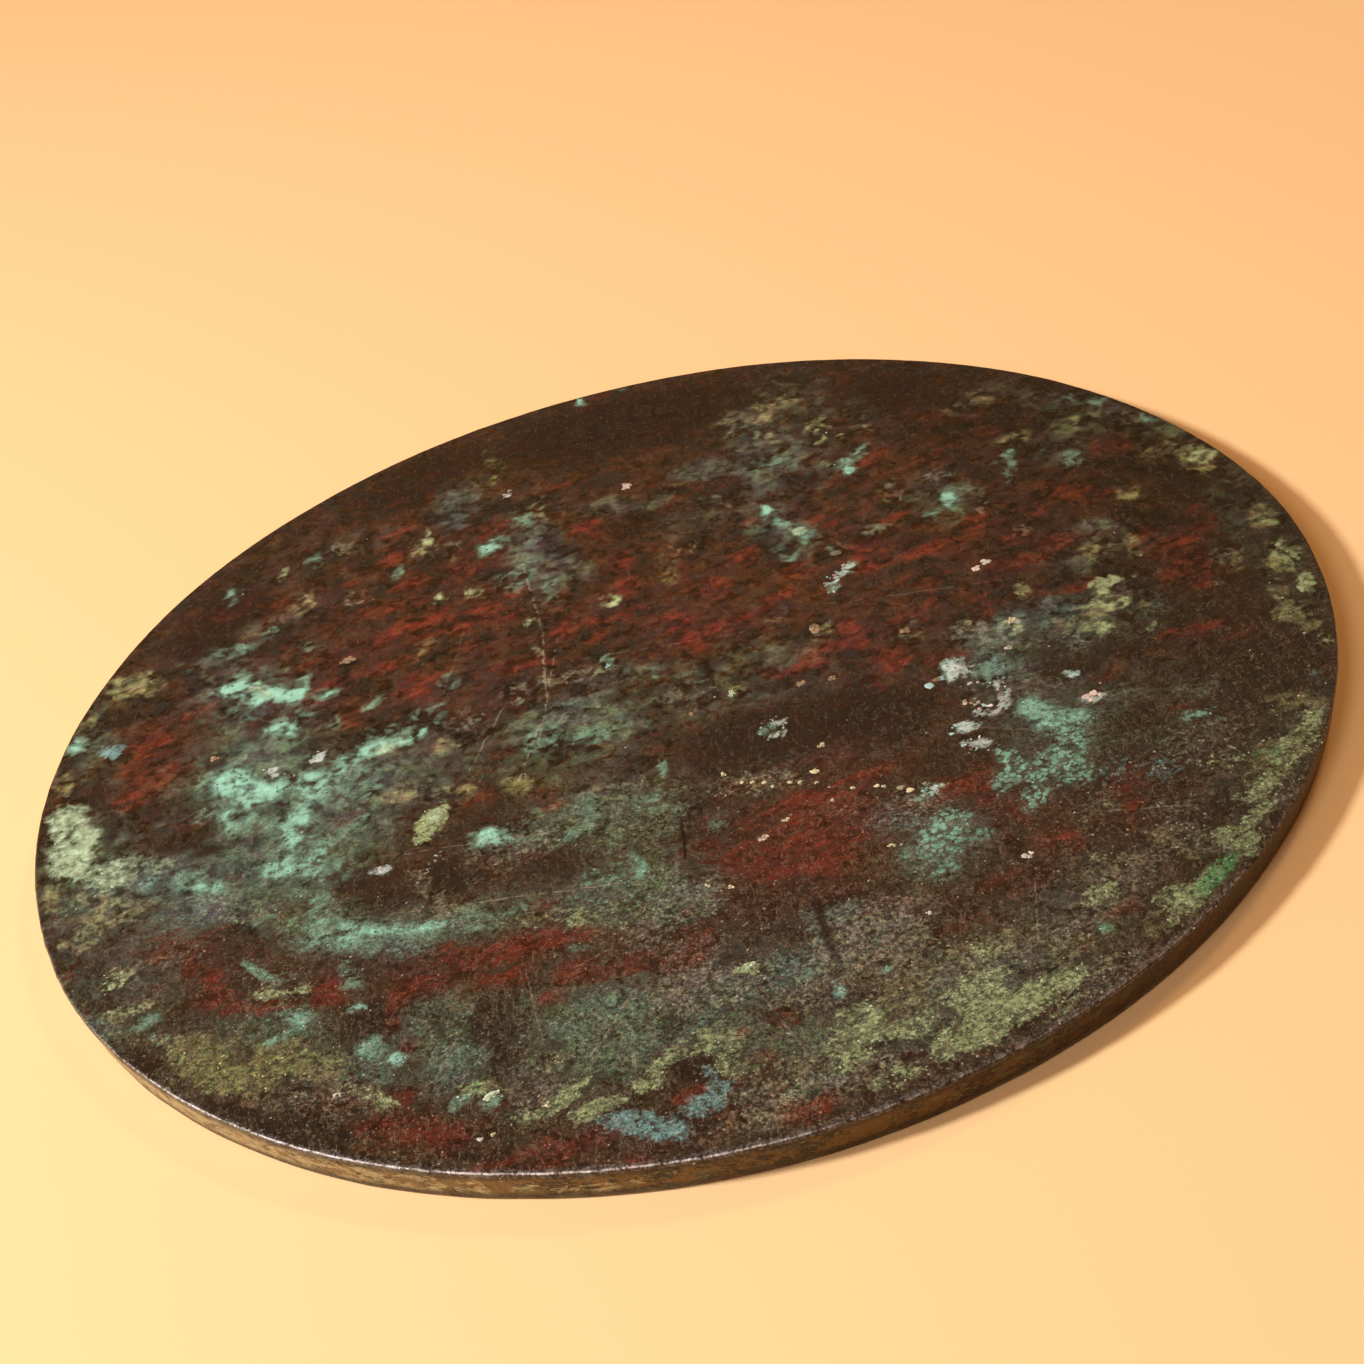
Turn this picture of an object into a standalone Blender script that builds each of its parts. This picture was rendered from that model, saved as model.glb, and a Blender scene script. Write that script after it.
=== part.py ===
"""A round cast bronze mirror, lying face up on the rim of its back.

One casting: a thin plate with a smooth round face, a thicker rim all round it, and on the
hidden back a plain flat rim band, a sunk field with one low ring, and a small pierced knob.
Metres, +Z up. The origin is at the middle of the underside, which is the plane of the rim band.
"""
import math

import bmesh
import bpy

# The face and the rim, read from the photograph
FACE_DIAMETER = 0.180
RIM_HEIGHT = 0.0052
WALL_LEAN = 0.0009
FACE_ARRIS_ROUND = 0.0004
FOOT_ARRIS_ROUND = 0.0005

# The hidden back
PLATE_THICKNESS = 0.0020
RIM_BAND_WIDTH = 0.0130
RIM_BAND_SLOPE = 0.0022
RING_DIAMETER = 0.104
RING_WIDTH = 0.0030
RING_HEIGHT = 0.0009

# The cord knob at the middle of the back
KNOB_DIAMETER = 0.022
KNOB_SHORT_OF_REST = 0.0003
CORD_HOLE_BRIDGE = 0.0009
CORD_HOLE_SILL = 0.0002
CORD_HOLE_OVERRUN = 0.0020

# How finely the round shapes are divided
TURN_SEGMENTS = 120
ARRIS_STEPS = 4
RING_STEPS = 6
KNOB_STEPS = 9
CORD_HOLE_SIDES = 16
MERGE_DISTANCE = 0.00001

# The finish: dark brown bronze under a thin green and red patina
BRONZE_COLOUR = (0.075, 0.052, 0.034, 1.0)
BRONZE_ROUGHNESS = 0.42
BRONZE_METALLIC = 0.55

# Sizes that follow from the ones above
FACE_RADIUS = FACE_DIAMETER / 2
FOOT_RADIUS = FACE_RADIUS - WALL_LEAN
FIELD_LEVEL = RIM_HEIGHT - PLATE_THICKNESS
BAND_INNER_RADIUS = FOOT_RADIUS - RIM_BAND_WIDTH
FIELD_RADIUS = BAND_INNER_RADIUS - RIM_BAND_SLOPE
RING_RADIUS = RING_DIAMETER / 2
KNOB_RADIUS = KNOB_DIAMETER / 2
KNOB_HEIGHT = FIELD_LEVEL - KNOB_SHORT_OF_REST
CORD_HOLE_DIAMETER = KNOB_HEIGHT - CORD_HOLE_BRIDGE - CORD_HOLE_SILL
CORD_HOLE_LEVEL = FIELD_LEVEL - CORD_HOLE_SILL - CORD_HOLE_DIAMETER / 2


def clear_scene():
    for old in list(bpy.data.objects):
        bpy.data.objects.remove(old, do_unlink=True)


def patinated_bronze():
    material = bpy.data.materials.new("patinated_bronze")
    material.use_nodes = True
    shader = material.node_tree.nodes["Principled BSDF"]
    shader.inputs["Base Color"].default_value = BRONZE_COLOUR
    shader.inputs["Roughness"].default_value = BRONZE_ROUGHNESS
    shader.inputs["Metallic"].default_value = BRONZE_METALLIC
    return material


def quarter_turn(centre, radius, start_degrees, steps):
    """Points of a quarter circle in the profile's plane, turning clockwise from the start."""
    points = []
    for step in range(steps + 1):
        angle = math.radians(start_degrees - 90.0 * step / steps)
        r = centre[0] + radius * math.cos(angle)
        z = centre[1] + radius * math.sin(angle)
        points.append((r, z))
    return points


def wall_points():
    """The rim's edge: a rounded arris at the face, the leaning wall, a rounded arris at the foot."""
    face_centre = (FACE_RADIUS - FACE_ARRIS_ROUND, RIM_HEIGHT - FACE_ARRIS_ROUND)
    foot_centre = (FOOT_RADIUS - FOOT_ARRIS_ROUND, FOOT_ARRIS_ROUND)
    upper = quarter_turn(face_centre, FACE_ARRIS_ROUND, 90.0, ARRIS_STEPS)
    lower = quarter_turn(foot_centre, FOOT_ARRIS_ROUND, 0.0, ARRIS_STEPS)
    return upper + lower


def ring_points():
    """The low ring on the field, half a wave in section, from its outer side to its inner side."""
    points = []
    for step in range(RING_STEPS + 1):
        share = step / RING_STEPS
        r = RING_RADIUS + RING_WIDTH * (0.5 - share)
        z = FIELD_LEVEL - RING_HEIGHT * math.sin(math.pi * share)
        points.append((r, z))
    return points


def knob_points():
    """The knob, a quarter of an ellipse from its foot on the field to its crown on the axis."""
    points = []
    for step in range(KNOB_STEPS + 1):
        angle = math.radians(90.0 * step / KNOB_STEPS)
        r = KNOB_RADIUS * math.cos(angle)
        z = FIELD_LEVEL - KNOB_HEIGHT * math.sin(angle)
        points.append((r, z))
    points[-1] = (0.0, FIELD_LEVEL - KNOB_HEIGHT)
    return points


def mirror_profile():
    """Half the section, from the middle of the face out over the rim and back to the knob's crown."""
    face_middle = [(0.0, RIM_HEIGHT)]
    band_inner = [(BAND_INNER_RADIUS, 0.0)]
    field_edge = [(FIELD_RADIUS, FIELD_LEVEL)]
    return face_middle + wall_points() + band_inner + field_edge + ring_points() + knob_points()


def turned_object(name, profile):
    """An object whose mesh is the profile line, turned about Z by a Screw modifier."""
    mesh = bpy.data.meshes.new(name)
    corners = [(r, 0.0, z) for r, z in profile]
    edges = [(i, i + 1) for i in range(len(corners) - 1)]
    mesh.from_pydata(corners, edges, [])
    turned = bpy.data.objects.new(name, mesh)
    bpy.context.scene.collection.objects.link(turned)
    screw = turned.modifiers.new("turn", "SCREW")
    screw.axis = "Z"
    screw.angle = 2.0 * math.pi
    screw.screw_offset = 0.0
    screw.steps = TURN_SEGMENTS
    screw.render_steps = TURN_SEGMENTS
    screw.use_merge_vertices = True
    screw.merge_threshold = MERGE_DISTANCE
    screw.use_smooth_shade = True
    return turned


def cord_hole_cutter():
    """A round bar along X through the knob, close under the field."""
    mesh = bpy.data.meshes.new("cord_hole_cutter")
    shape = bmesh.new()
    bmesh.ops.create_cone(
        shape,
        cap_ends=True,
        segments=CORD_HOLE_SIDES,
        radius1=CORD_HOLE_DIAMETER / 2,
        radius2=CORD_HOLE_DIAMETER / 2,
        depth=KNOB_DIAMETER + 2 * CORD_HOLE_OVERRUN,
    )
    shape.to_mesh(mesh)
    shape.free()
    cutter = bpy.data.objects.new("cord_hole_cutter", mesh)
    cutter.rotation_euler = (0.0, math.radians(90.0), 0.0)
    cutter.location = (0.0, 0.0, CORD_HOLE_LEVEL)
    cutter.hide_render = True
    cutter.display_type = "WIRE"
    bpy.context.scene.collection.objects.link(cutter)
    return cutter


def mirror_disc():
    disc = turned_object("mirror_disc", mirror_profile())
    disc.data.materials.append(patinated_bronze())
    bore = disc.modifiers.new("cord_hole", "BOOLEAN")
    bore.operation = "DIFFERENCE"
    bore.solver = "EXACT"
    bore.object = cord_hole_cutter()
    return disc


def main():
    clear_scene()
    mirror_disc()


main()
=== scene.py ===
"""The looks of a round cast bronze mirror, lying face up on a pale floor.

The casting is one fine mesh that stands for the solid. Its patina is laid out as named patches
on the face, in millimetres from the middle, with X to the right and Y away from the camera.
"""
import math

import bpy
import numpy as np
from mathutils import Matrix, Vector


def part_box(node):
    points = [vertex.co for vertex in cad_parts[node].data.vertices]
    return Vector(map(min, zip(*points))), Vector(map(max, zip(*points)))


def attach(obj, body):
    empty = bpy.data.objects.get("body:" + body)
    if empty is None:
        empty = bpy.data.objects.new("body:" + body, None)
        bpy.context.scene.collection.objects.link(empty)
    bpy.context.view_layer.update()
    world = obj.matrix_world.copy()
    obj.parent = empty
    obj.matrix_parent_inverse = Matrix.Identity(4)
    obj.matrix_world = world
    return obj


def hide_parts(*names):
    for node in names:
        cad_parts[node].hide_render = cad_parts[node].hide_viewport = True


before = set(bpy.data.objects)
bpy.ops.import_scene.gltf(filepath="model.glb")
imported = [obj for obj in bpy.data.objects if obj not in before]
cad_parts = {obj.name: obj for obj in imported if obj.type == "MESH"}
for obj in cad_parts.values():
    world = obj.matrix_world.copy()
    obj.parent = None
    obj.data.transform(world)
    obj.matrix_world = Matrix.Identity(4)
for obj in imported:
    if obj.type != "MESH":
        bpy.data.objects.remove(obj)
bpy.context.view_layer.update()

MM = 0.001
PHOTO_SIDE_PX = 1364

DISC_LOW, DISC_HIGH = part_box("mirror_disc")

# The casting's section, in millimetres: the face and the height come from the frame
FACE_RADIUS = (DISC_HIGH[0] - DISC_LOW[0]) / 2 / MM
RIM_HEIGHT = DISC_HIGH[2] / MM
WALL_LEAN = 0.9
FACE_ARRIS_ROUND = 0.45
FOOT_ARRIS_ROUND = 0.5
PLATE_THICKNESS = 2.0
RIM_BAND_WIDTH = 13.0
RIM_BAND_SLOPE = 2.2
RING_DIAMETER = 104.0
RING_WIDTH = 3.0
RING_HEIGHT = 0.9
KNOB_DIAMETER = 22.0
KNOB_SHORT_OF_REST = 0.3
CORD_HOLE_BRIDGE = 0.9
CORD_HOLE_SILL = 0.2
CORD_HOLE_OVERRUN = 2.0

FOOT_RADIUS = FACE_RADIUS - WALL_LEAN
FIELD_LEVEL = RIM_HEIGHT - PLATE_THICKNESS
KNOB_HEIGHT = FIELD_LEVEL - KNOB_SHORT_OF_REST

# The mineral grains on the crusts, per square millimetre where they are thickest, and their radius
GRAINS_PER_SQUARE_MM = 2.2
GRAIN_RADIUS = 0.3

# How finely the casting is divided: the face's cells, the steps round it, and the rows of each part
FACE_CELLS = 256
TURN_STEPS = 4 * FACE_CELLS
BACK_HALVED_OUTSIDE = 60.0
ARRIS_STEPS = 4
WALL_STEPS = 7
FOOT_STEPS = 3
BAND_ROWS = (1.6, 3.6, 6.0, 8.5, 11.0, 12.6)
OUTER_FIELD_STEPS = 10
RING_STEPS = 8
INNER_FIELD_STEPS = 18
KNOB_STEPS = 12

# Where a patch has faded out and over what width it fades, as shares of its half size
FADE_END = 1.45
FADE_WIDTH = 0.9

# Relief, in millimetres: how far crusts stand up and pits sink, and how far the rim wavers
CRUST_RISE = 0.16
PIT_DEPTH = 0.28
RIM_SWAYS = ((3, 0.16, 0.6), (5, 0.10, 2.0), (11, 0.06, 0.0))  # waves round the rim, reach, start

# The face's worn granular band, as radii, and the painted highlight line along its arris, as depths below the
# face
WORN_BAND = (88.7, 89.7)
ARRIS_HIGHLIGHT_DEPTHS = (0.08, 0.2)

# The camera, from the photograph: distance and tilts of the view that fit the face's outline
CAMERA_DISTANCE = 387.6
CAMERA_ELEVATION = 35.12
CAMERA_YAW = -0.00606
CAMERA_PITCH = 0.01393
CAMERA_ROLL = 14.47
CAMERA_FOCAL_PX = 2800.0
SENSOR_WIDTH = 36.0


# Patina, each patch as (x, y, length, width, turn in degrees, strength)
CUPRITE_RED = (
    (-73.5, 20.5, 5, 5, 0, 0.9), (-74.5, 15, 6, 6, 0, 0.7), (-76, 7, 5, 5, 0, 0.95),
    (-69.5, 10, 8, 6, -30, 0.6), (-67, -1.5, 9, 5, 0, 0.45), (-58, 18.5, 2.5, 3.5, 0, 0.8),
    (-67, 25, 6, 4, 0, 0.4), (-36, 55, 3.5, 6, 0, 0.9), (-62, 51, 9, 4, -10, 0.4),
    (-35, 41, 11, 5, 10, 0.7), (-33, 45, 6, 5, 0, 0.5), (-34, 33, 13, 6, 0, 0.9), (-46, 32, 9, 6, 0, 0.6),
    (-47, 22, 9, 5, 20, 0.6), (-43, 15, 6, 8, 0, 0.55), (-52, 34, 7, 5, -30, 0.5),
    (-36, 24.5, 9, 3, 10, 0.75), (-33, 17, 8, 6, 0, 0.55), (-26, 44, 5.5, 6, 0, 0.85),
    (-27, 31.5, 12, 5, 8, 1.0), (-21, 31, 7, 4, -10, 0.9), (-5.5, 48.5, 4, 4, 0, 0.95),
    (-8.5, 62, 5, 4, 0, 0.4), (-12, 40, 4, 5, 0, 0.7), (-2, 36, 4, 9, 0, 0.7), (-18, 36, 4, 5, 0, 0.7),
    (-19, 55, 6, 5, 0, 0.5), (-36, 71, 6, 8, 0, 0.3), (-35, 62, 6, 6, 0, 0.3), (8.5, 72, 4, 9, 0, 0.25),
    (38, 46.5, 6, 5, 0, 0.5), (47, 44, 9, 4, 0, 0.65), (18, 37.5, 4, 2.5, 0, 0.7),
    (52, 53, 10, 4, -10, 0.35), (57.5, 47, 4, 4, 0, 0.6), (33, 21, 8, 5, 10, 0.8), (43, 19, 9, 4, 0, 0.95),
    (49.5, 23, 6, 4, 40, 0.9), (38, 30, 4, 4, 0, 0.6), (61.5, 26, 7, 4, -45, 0.85), (66, 22, 6, 4, 0, 0.6),
    (73, 34, 6, 5, 0, 0.65), (57, 23, 5, 3, 0, 0.6), (53.5, 15.5, 5, 3.5, 0, 0.8), (58, 12, 5, 3.5, 0, 0.7),
    (64, 12.5, 7, 3, 0, 0.6), (52, 9.5, 9, 4, 0, 0.7), (74.5, 1.5, 6, 11, 0, 0.95), (78, 9, 5, 7, 0, 0.45),
    (70, 7, 6, 8, 0, 0.45), (38.5, 7, 2.5, 6, 0, 0.7), (46, 6, 5, 6, 0, 0.5), (-18.5, 16, 8, 3.5, 0, 0.9),
    (-12, 23, 2.5, 9, 0, 0.8), (-8.5, 20.5, 3.5, 7, 0, 0.9), (-2, 29, 3.5, 9, 0, 0.8),
    (-3.5, 23, 7, 4, 0, 0.7), (3.5, 17, 8, 4.5, -10, 1.0), (5, 12.5, 2.5, 9, 0, 1.0),
    (11, 23, 4, 6, 0, 0.8), (7, 28, 3, 8, 0, 0.55), (12, 13.5, 9, 4, 0, 0.8), (18, 16, 7, 2.2, 40, 0.8),
    (23, 22, 7, 4, 0, 0.6), (32, 25, 5, 5, 0, 0.8), (22.5, 1, 9, 3, 10, 0.8), (18, -2, 7, 3, 0, 0.7),
    (27, 3, 3.5, 7, 0, 0.7), (29.5, -3, 3.5, 7, 30, 0.7), (28, -9.5, 1.4, 5, 0, 0.9),
    (-2.5, -7, 1.3, 10, 0, 0.75), (-3.2, -13, 1.3, 5, 0, 0.6), (-5, -6.5, 1.3, 6, 0, 0.6),
    (-24, -3.5, 7, 3, 0, 0.7), (-27, -12.5, 5, 5, 0, 0.6), (-19, -17, 4, 6, 0, 0.5),
    (-10, -9, 5, 5, 0, 0.35), (37, -8, 8, 3, 0, 0.8), (31, -5, 4, 5, -40, 0.65), (45.5, 1, 6, 4, 0, 0.5),
    (57, 1.5, 8, 4, 0, 0.55), (73, -2.5, 7, 9, 0, 0.9), (70, -15.8, 11, 2, -3, 1.0),
    (66, -17.5, 9, 3, 10, 0.6), (74, -19, 6, 4, 0, 0.4), (57, -21, 5, 5, 0, 0.45),
    (63, -32.5, 6, 2.5, 0, 0.45), (53, -44, 6, 7, 0, 0.6), (52, -49, 2.8, 3.5, 0, 0.95),
    (50.8, -52, 3, 3, 0, 0.8), (44, -53, 3.5, 6, 20, 0.7), (37, -44, 9, 7, 0, 0.5),
    (33, -37, 8, 9, 0, 0.65), (12, -39, 21, 15, 0, 0.72), (13.5, -37, 9, 6, 0, 0.6), (6, -40, 5, 7, 0, 0.5),
    (12, -44, 14, 4, 0, 0.55), (14, -31, 15, 3, -8, 0.9), (22, -29, 9, 2.5, 0, 0.75),
    (3.5, -71, 4, 5, 0, 0.8), (0, -77, 4, 6, 0, 0.5), (3.5, -86, 8, 5, 0, 0.65), (5.5, -86, 2.2, 3, 0, 0.9),
    (16.5, -82, 3, 2, 0, 0.8), (17, -70.5, 8, 3, 15, 0.5), (39, -71.5, 3, 3, 0, 0.6),
    (46, -67, 6, 5, 0, 0.5), (41, -51, 6, 7, 0, 0.55), (36, -57, 12, 6, 0, 0.5), (2, -65, 1.6, 4, 0, 0.8),
    (30, -62, 12, 5, 0, 0.4), (1.5, -38, 5, 7, 30, 0.6), (-38, -49, 9, 5, 0, 1.0),
    (-27.5, -45, 10, 6, 0, 1.0), (-21.5, -45.5, 6, 5, 0, 0.9), (-33, -44, 7, 5, 0, 0.8),
    (-42, -52, 3, 8, 0, 0.85), (-28, -50, 8, 4, 0, 0.75), (-50, -44.5, 7, 6, 0, 0.9),
    (-57, -45, 6, 3.5, 0, 0.8), (-18.5, -53, 9, 5, -35, 0.95), (-12, -55, 8, 5, 0, 0.8),
    (-22, -56.5, 5, 3.5, 0, 0.8), (-6, -56, 6, 5, 0, 0.6), (-40, -58.5, 3.5, 4, 0, 0.7),
    (-22, -38.5, 6, 3, -20, 0.75), (-16.5, -46, 4, 4, 0, 0.65), (-3, -38, 4, 6, 20, 0.5),
    (-42.5, -67.5, 4, 2.8, -40, 1.0), (-41, -67, 3, 2.5, 0, 0.7), (-41, -73, 14, 6, -10, 0.75),
    (-36.5, -76, 6, 5, 0, 0.85), (-33, -82, 6, 2, 0, 0.8), (-25, -82.5, 10, 4, 0, 0.75),
    (-19.5, -82, 4, 4, 0, 0.5), (-9, -79, 6, 2.6, 5, 1.0), (-4, -79, 5, 3, 0, 0.6),
    (-1.5, -71, 3, 2.5, 0, 0.8), (-16.5, -87.5, 4, 1.6, 0, 0.6), (-3, -50, 6, 9, 0, 0.4),
    (-68.2, -33, 2.2, 5.5, 0, 1.0), (-65, -37, 5, 3, -50, 0.8), (-64, -40.5, 8, 3.5, 0, 0.8),
    (-62, -43.5, 6, 3, 0, 0.75), (-71, -25, 5, 4, 0, 0.6), (-66, -27.5, 8, 3, 0, 0.55),
    (-73, -28, 4, 4, 0, 0.5), (-57, -33.5, 1.6, 2.5, 0, 0.8), (-62, -17, 3.5, 3.5, 0, 0.6),
    (-47, -8, 6, 7, 0, 0.5), (-82, -36.5, 1.2, 4, 20, 0.5), (-84, -28, 2, 2, 0, 0.5),
    (-72, -37, 4, 6, 0, 0.35), (-31, -72, 6, 4, 0, 0.35), (20, -33, 6, 4, 0, 0.7), (62, -46, 7, 4, 0, 0.3),
    (-54, 47, 7, 6, 0, 0.4), (-44, 47, 6, 8, 0, 0.45), (-24, 24, 5, 5, 0, 0.45), (29, 33, 6, 6, 0, 0.4),
    (16, 30, 5, 6, 0, 0.45), (-12, 31, 5, 5, 0, 0.4), (40, 12, 6, 5, 0, 0.5), (35, 3, 5, 6, 0, 0.45),
)

TURQUOISE_CRUST = (
    (-60.3, 28.5, 7, 5.2, -20, 1.0), (-56.5, 25.8, 8, 5.5, -35, 1.1), (-52.6, 23.4, 5.5, 4.2, -50, 1.0),
    (-54.5, 15.6, 6, 4, -30, 0.85), (-51, 18, 3, 5, 20, 0.5), (-48, 21.5, 3.2, 3.2, 0, 0.8),
    (-50.5, 26.3, 2.2, 2.6, 0, 0.5), (-60, 22.5, 5, 2.6, -40, 0.5), (-59, 33, 3, 4.5, 0, 0.5),
    (-84.5, 24.8, 2.2, 3.6, 0, 0.8), (-48.7, 34.7, 2.4, 5, 30, 0.5), (-60.5, 55, 2.6, 4.2, 0, 0.7),
    (-66.3, 35.5, 2, 8, 30, 0.42), (-40.7, 16.2, 2.6, 4, 0, 0.55), (-46.5, 14, 2.4, 3.4, 20, 0.42),
    (-29, 16.2, 3, 3.2, 0, 0.42), (-62.3, 5.8, 7, 7, 0, 0.85), (-58.5, 2, 9, 6, -20, 0.82),
    (-53, 1.2, 9, 5, 0, 0.6), (-47.5, 2.4, 9, 5, 25, 0.6), (-43, 4, 8, 4, 30, 0.6),
    (-39.5, 5, 6, 2.6, 15, 0.85), (-35.8, 6, 6, 2.4, 30, 0.55), (-50, -1.5, 8, 5, 30, 0.55),
    (-45, -0.5, 9, 3, 35, 0.5), (-38, 8, 6, 3, 35, 0.4), (-33, 11, 7, 2.4, 30, 0.35),
    (-34.5, 6.4, 2.6, 2.2, 30, 0.55), (-31.8, 7.6, 1.8, 3, 0, 0.55), (-41, 8, 2, 4.4, 0, 0.5),
    (-60.5, -4.2, 6, 6, 0, 0.65), (-62.5, -1, 8, 4, 0, 0.5), (-51.5, -4.8, 11, 5, 35, 0.62),
    (-53.5, -7.5, 7, 5, 45, 0.55), (-44, -5, 9, 4, 30, 0.42), (-54.5, -11.5, 3.4, 4.4, 0, 0.8),
    (-53.5, -15.5, 11, 7, 0, 0.62), (-46, -12, 8, 4, 30, 0.35), (-47, -20, 7, 5, 0, 0.42),
    (-50, -18, 4, 7, 0, 0.6), (-55.5, -17.5, 5, 4, 0, 0.65), (-67, -14.5, 6, 6, 0, 0.6),
    (-64.5, -17.3, 5, 3, -20, 0.75), (-57.5, -26, 6, 2.4, 40, 0.6), (-52.2, -22.5, 1.6, 3.2, 0, 0.6),
    (-50.5, -25.5, 3, 6, 0, 0.4), (-46.5, -32.2, 10, 3, -25, 0.6), (-39, -35.6, 10, 2.6, -20, 0.6),
    (-45, -36, 12, 7, -20, 0.5), (-52, -29, 6, 4, 0, 0.42), (-33, -37.4, 9, 2.2, -8, 0.5),
    (-24, -38, 9, 1.8, 0, 0.4), (-51.8, -33, 3.6, 7, 0, 0.6), (-47.5, -35, 8, 5, 0, 0.4),
    (-37.6, -37.2, 4, 4, 0, 0.6), (-31, -39.5, 6, 1.4, 0, 0.6), (-58.5, -37, 8, 2, -45, 0.65),
    (-74, -42, 5, 4, 0, 0.6), (-72, -46, 3, 3, 0, 0.45), (-46.5, -49.2, 2.8, 1.8, 0, 0.9),
    (-57, -51.4, 4.4, 2, 0, 0.8), (-55, -48.2, 6, 3, -50, 0.55), (-53.3, -49.5, 4, 5, 0, 0.6),
    (-45.6, -57.4, 5, 4.6, 0, 0.75), (-42, -60.4, 3.4, 2.8, 0, 0.95), (-44.5, -62, 5, 5, 0, 0.45),
    (-47, -43.6, 2.6, 8, 15, 0.5), (-27, -22.2, 6.4, 4.4, -35, 0.9), (-24.5, -23.5, 4, 2, 0, 0.6),
    (-13.3, -20.3, 3, 5, 20, 0.55), (-6, -23, 6, 4, 40, 0.55), (-3, -17, 2, 5, 0, 0.5),
    (-18, -3, 6, 6, 0, 0.45), (-11.5, -4.8, 6, 4, 0, 0.5), (-15, -25, 8, 3, 30, 0.4),
    (-19, -27.5, 6, 2, 0, 0.35), (-21, 49.3, 3.4, 3.6, 0, 0.95), (-19, 51, 3.4, 2.4, 30, 0.5),
    (21.3, 39.6, 2, 4, 10, 0.85), (23.2, 36.4, 2, 5, 20, 0.85), (24.4, 31.8, 4, 3.4, -50, 0.8),
    (25.6, 30, 2.6, 3.2, 0, 0.8), (21.4, 27.6, 3, 4, 30, 0.5), (34.8, 45.6, 1.8, 3.4, 0, 0.95),
    (34.6, 48.4, 3.6, 3.4, 30, 0.7), (37.2, 50, 4, 2.4, 30, 0.65), (22, 53, 5, 3.6, 0, 0.42),
    (26.2, 52.4, 3, 3.6, 0, 0.55), (46.2, 30.6, 3.2, 4, 0, 0.9), (43.2, 28, 1.8, 2.8, 0, 0.7),
    (48, 33, 2.4, 4, 0, 0.45), (57.5, 38, 1.8, 5, 0, 0.6), (56.8, 33, 1.8, 5, -20, 0.4),
    (66.5, 33, 3, 4, -40, 0.4), (28.5, 19.6, 3.6, 2.4, 30, 0.7), (26, 15.6, 1.5, 3.8, 10, 0.7),
    (12, -14, 3.4, 3.8, 0, 0.35), (43.4, -12.6, 4, 7, 0, 0.55), (41, -14, 3, 4, 0, 0.4),
    (48, -28, 6.6, 7, 0, 0.95), (46, -23.8, 5, 5.4, 0, 0.85), (50.5, -28, 4, 4, 0, 0.8),
    (48.3, -34.5, 5.4, 8, 0, 0.9), (47, -39, 5.4, 6, 0, 0.8), (44.5, -36, 5, 6, 0, 0.7),
    (39.6, -34, 2.4, 7, 15, 0.9), (41.8, -38.5, 2.4, 7, 15, 0.9), (38, -37, 4, 5, 0, 0.7),
    (41.4, -43, 5, 4, 20, 0.8), (37.3, -39.5, 2.4, 2, 0, 0.6), (28.4, -46, 7, 6, 0, 0.8),
    (30, -43, 5, 5, 0, 0.85), (24.5, -48, 4, 4, 0, 0.5), (27, -51, 8, 5, 0, 0.5),
    (33.6, -47.2, 3, 3, 0, 0.6), (25, -53.5, 8, 4, 0, 0.34), (65, -34.6, 3, 2.4, 0, 0.6),
    (42.2, -69.5, 3.4, 3.2, 0, 0.65), (76, -45.5, 2, 2, 0, 0.5), (7.6, -64, 4.4, 4, 30, 0.45),
    (10.8, -68.8, 2, 3, 0, 0.6), (16.8, -66.8, 1.6, 1.4, 0, 0.8), (-35, -70, 2.4, 2, 0, 0.6),
    (-31.3, -71.3, 3.6, 2.4, 20, 0.75), (-33.6, -63.5, 6, 8, 0, 0.36), (-37, -64, 4, 6, 0, 0.36),
    (-11, -38, 7, 4, 50, 0.5), (-9.5, -35.5, 2, 5, 0, 0.55), (-14.6, -35, 5, 4, 0, 0.4),
    (-18, -48.5, 4, 2, 0, 0.42), (2.3, -31, 3, 6, -30, 0.3), (-22, -50, 1.6, 3, 0, 0.5),
    (5, 11, 2, 2, 0, 0.0), (-7.2, 11, 1.5, 2.4, 0, 0.7), (-1, 6.6, 1.6, 3, 0, 0.5),
    (-13.6, 3.6, 1.4, 3, 0, 0.4), (-61, 39.5, 7, 3.4, 0, 0.35), (-55, 41.8, 4, 3, 0, 0.3),
    (-47.4, 58.4, 3, 5, 0, 0.35), (-14.5, 55.5, 3, 4, 0, 0.42), (-17, 40, 7, 6, 0, 0.38),
    (-12.4, 34.5, 2.4, 6, 0, 0.42), (-35, 49.6, 1.6, 4, 0, 0.5), (-2, 88, 1.8, 4, 0, 0.9),
    (5, 88.4, 2, 1.6, 0, 0.6), (71, 51.5, 2.4, 4, 0, 0.42), (75, 47, 2, 5, 20, 0.4),
    (80.5, 38, 2.4, 5, 20, 0.42), (37.3, -11.7, 2.6, 5, -20, 0.9), (36.4, -24.4, 4, 1.6, 10, 0.9),
    (52.4, -19, 2, 1.8, 0, 0.95), (29.3, -35.9, 3.4, 2, 0, 1.0),
)

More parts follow.
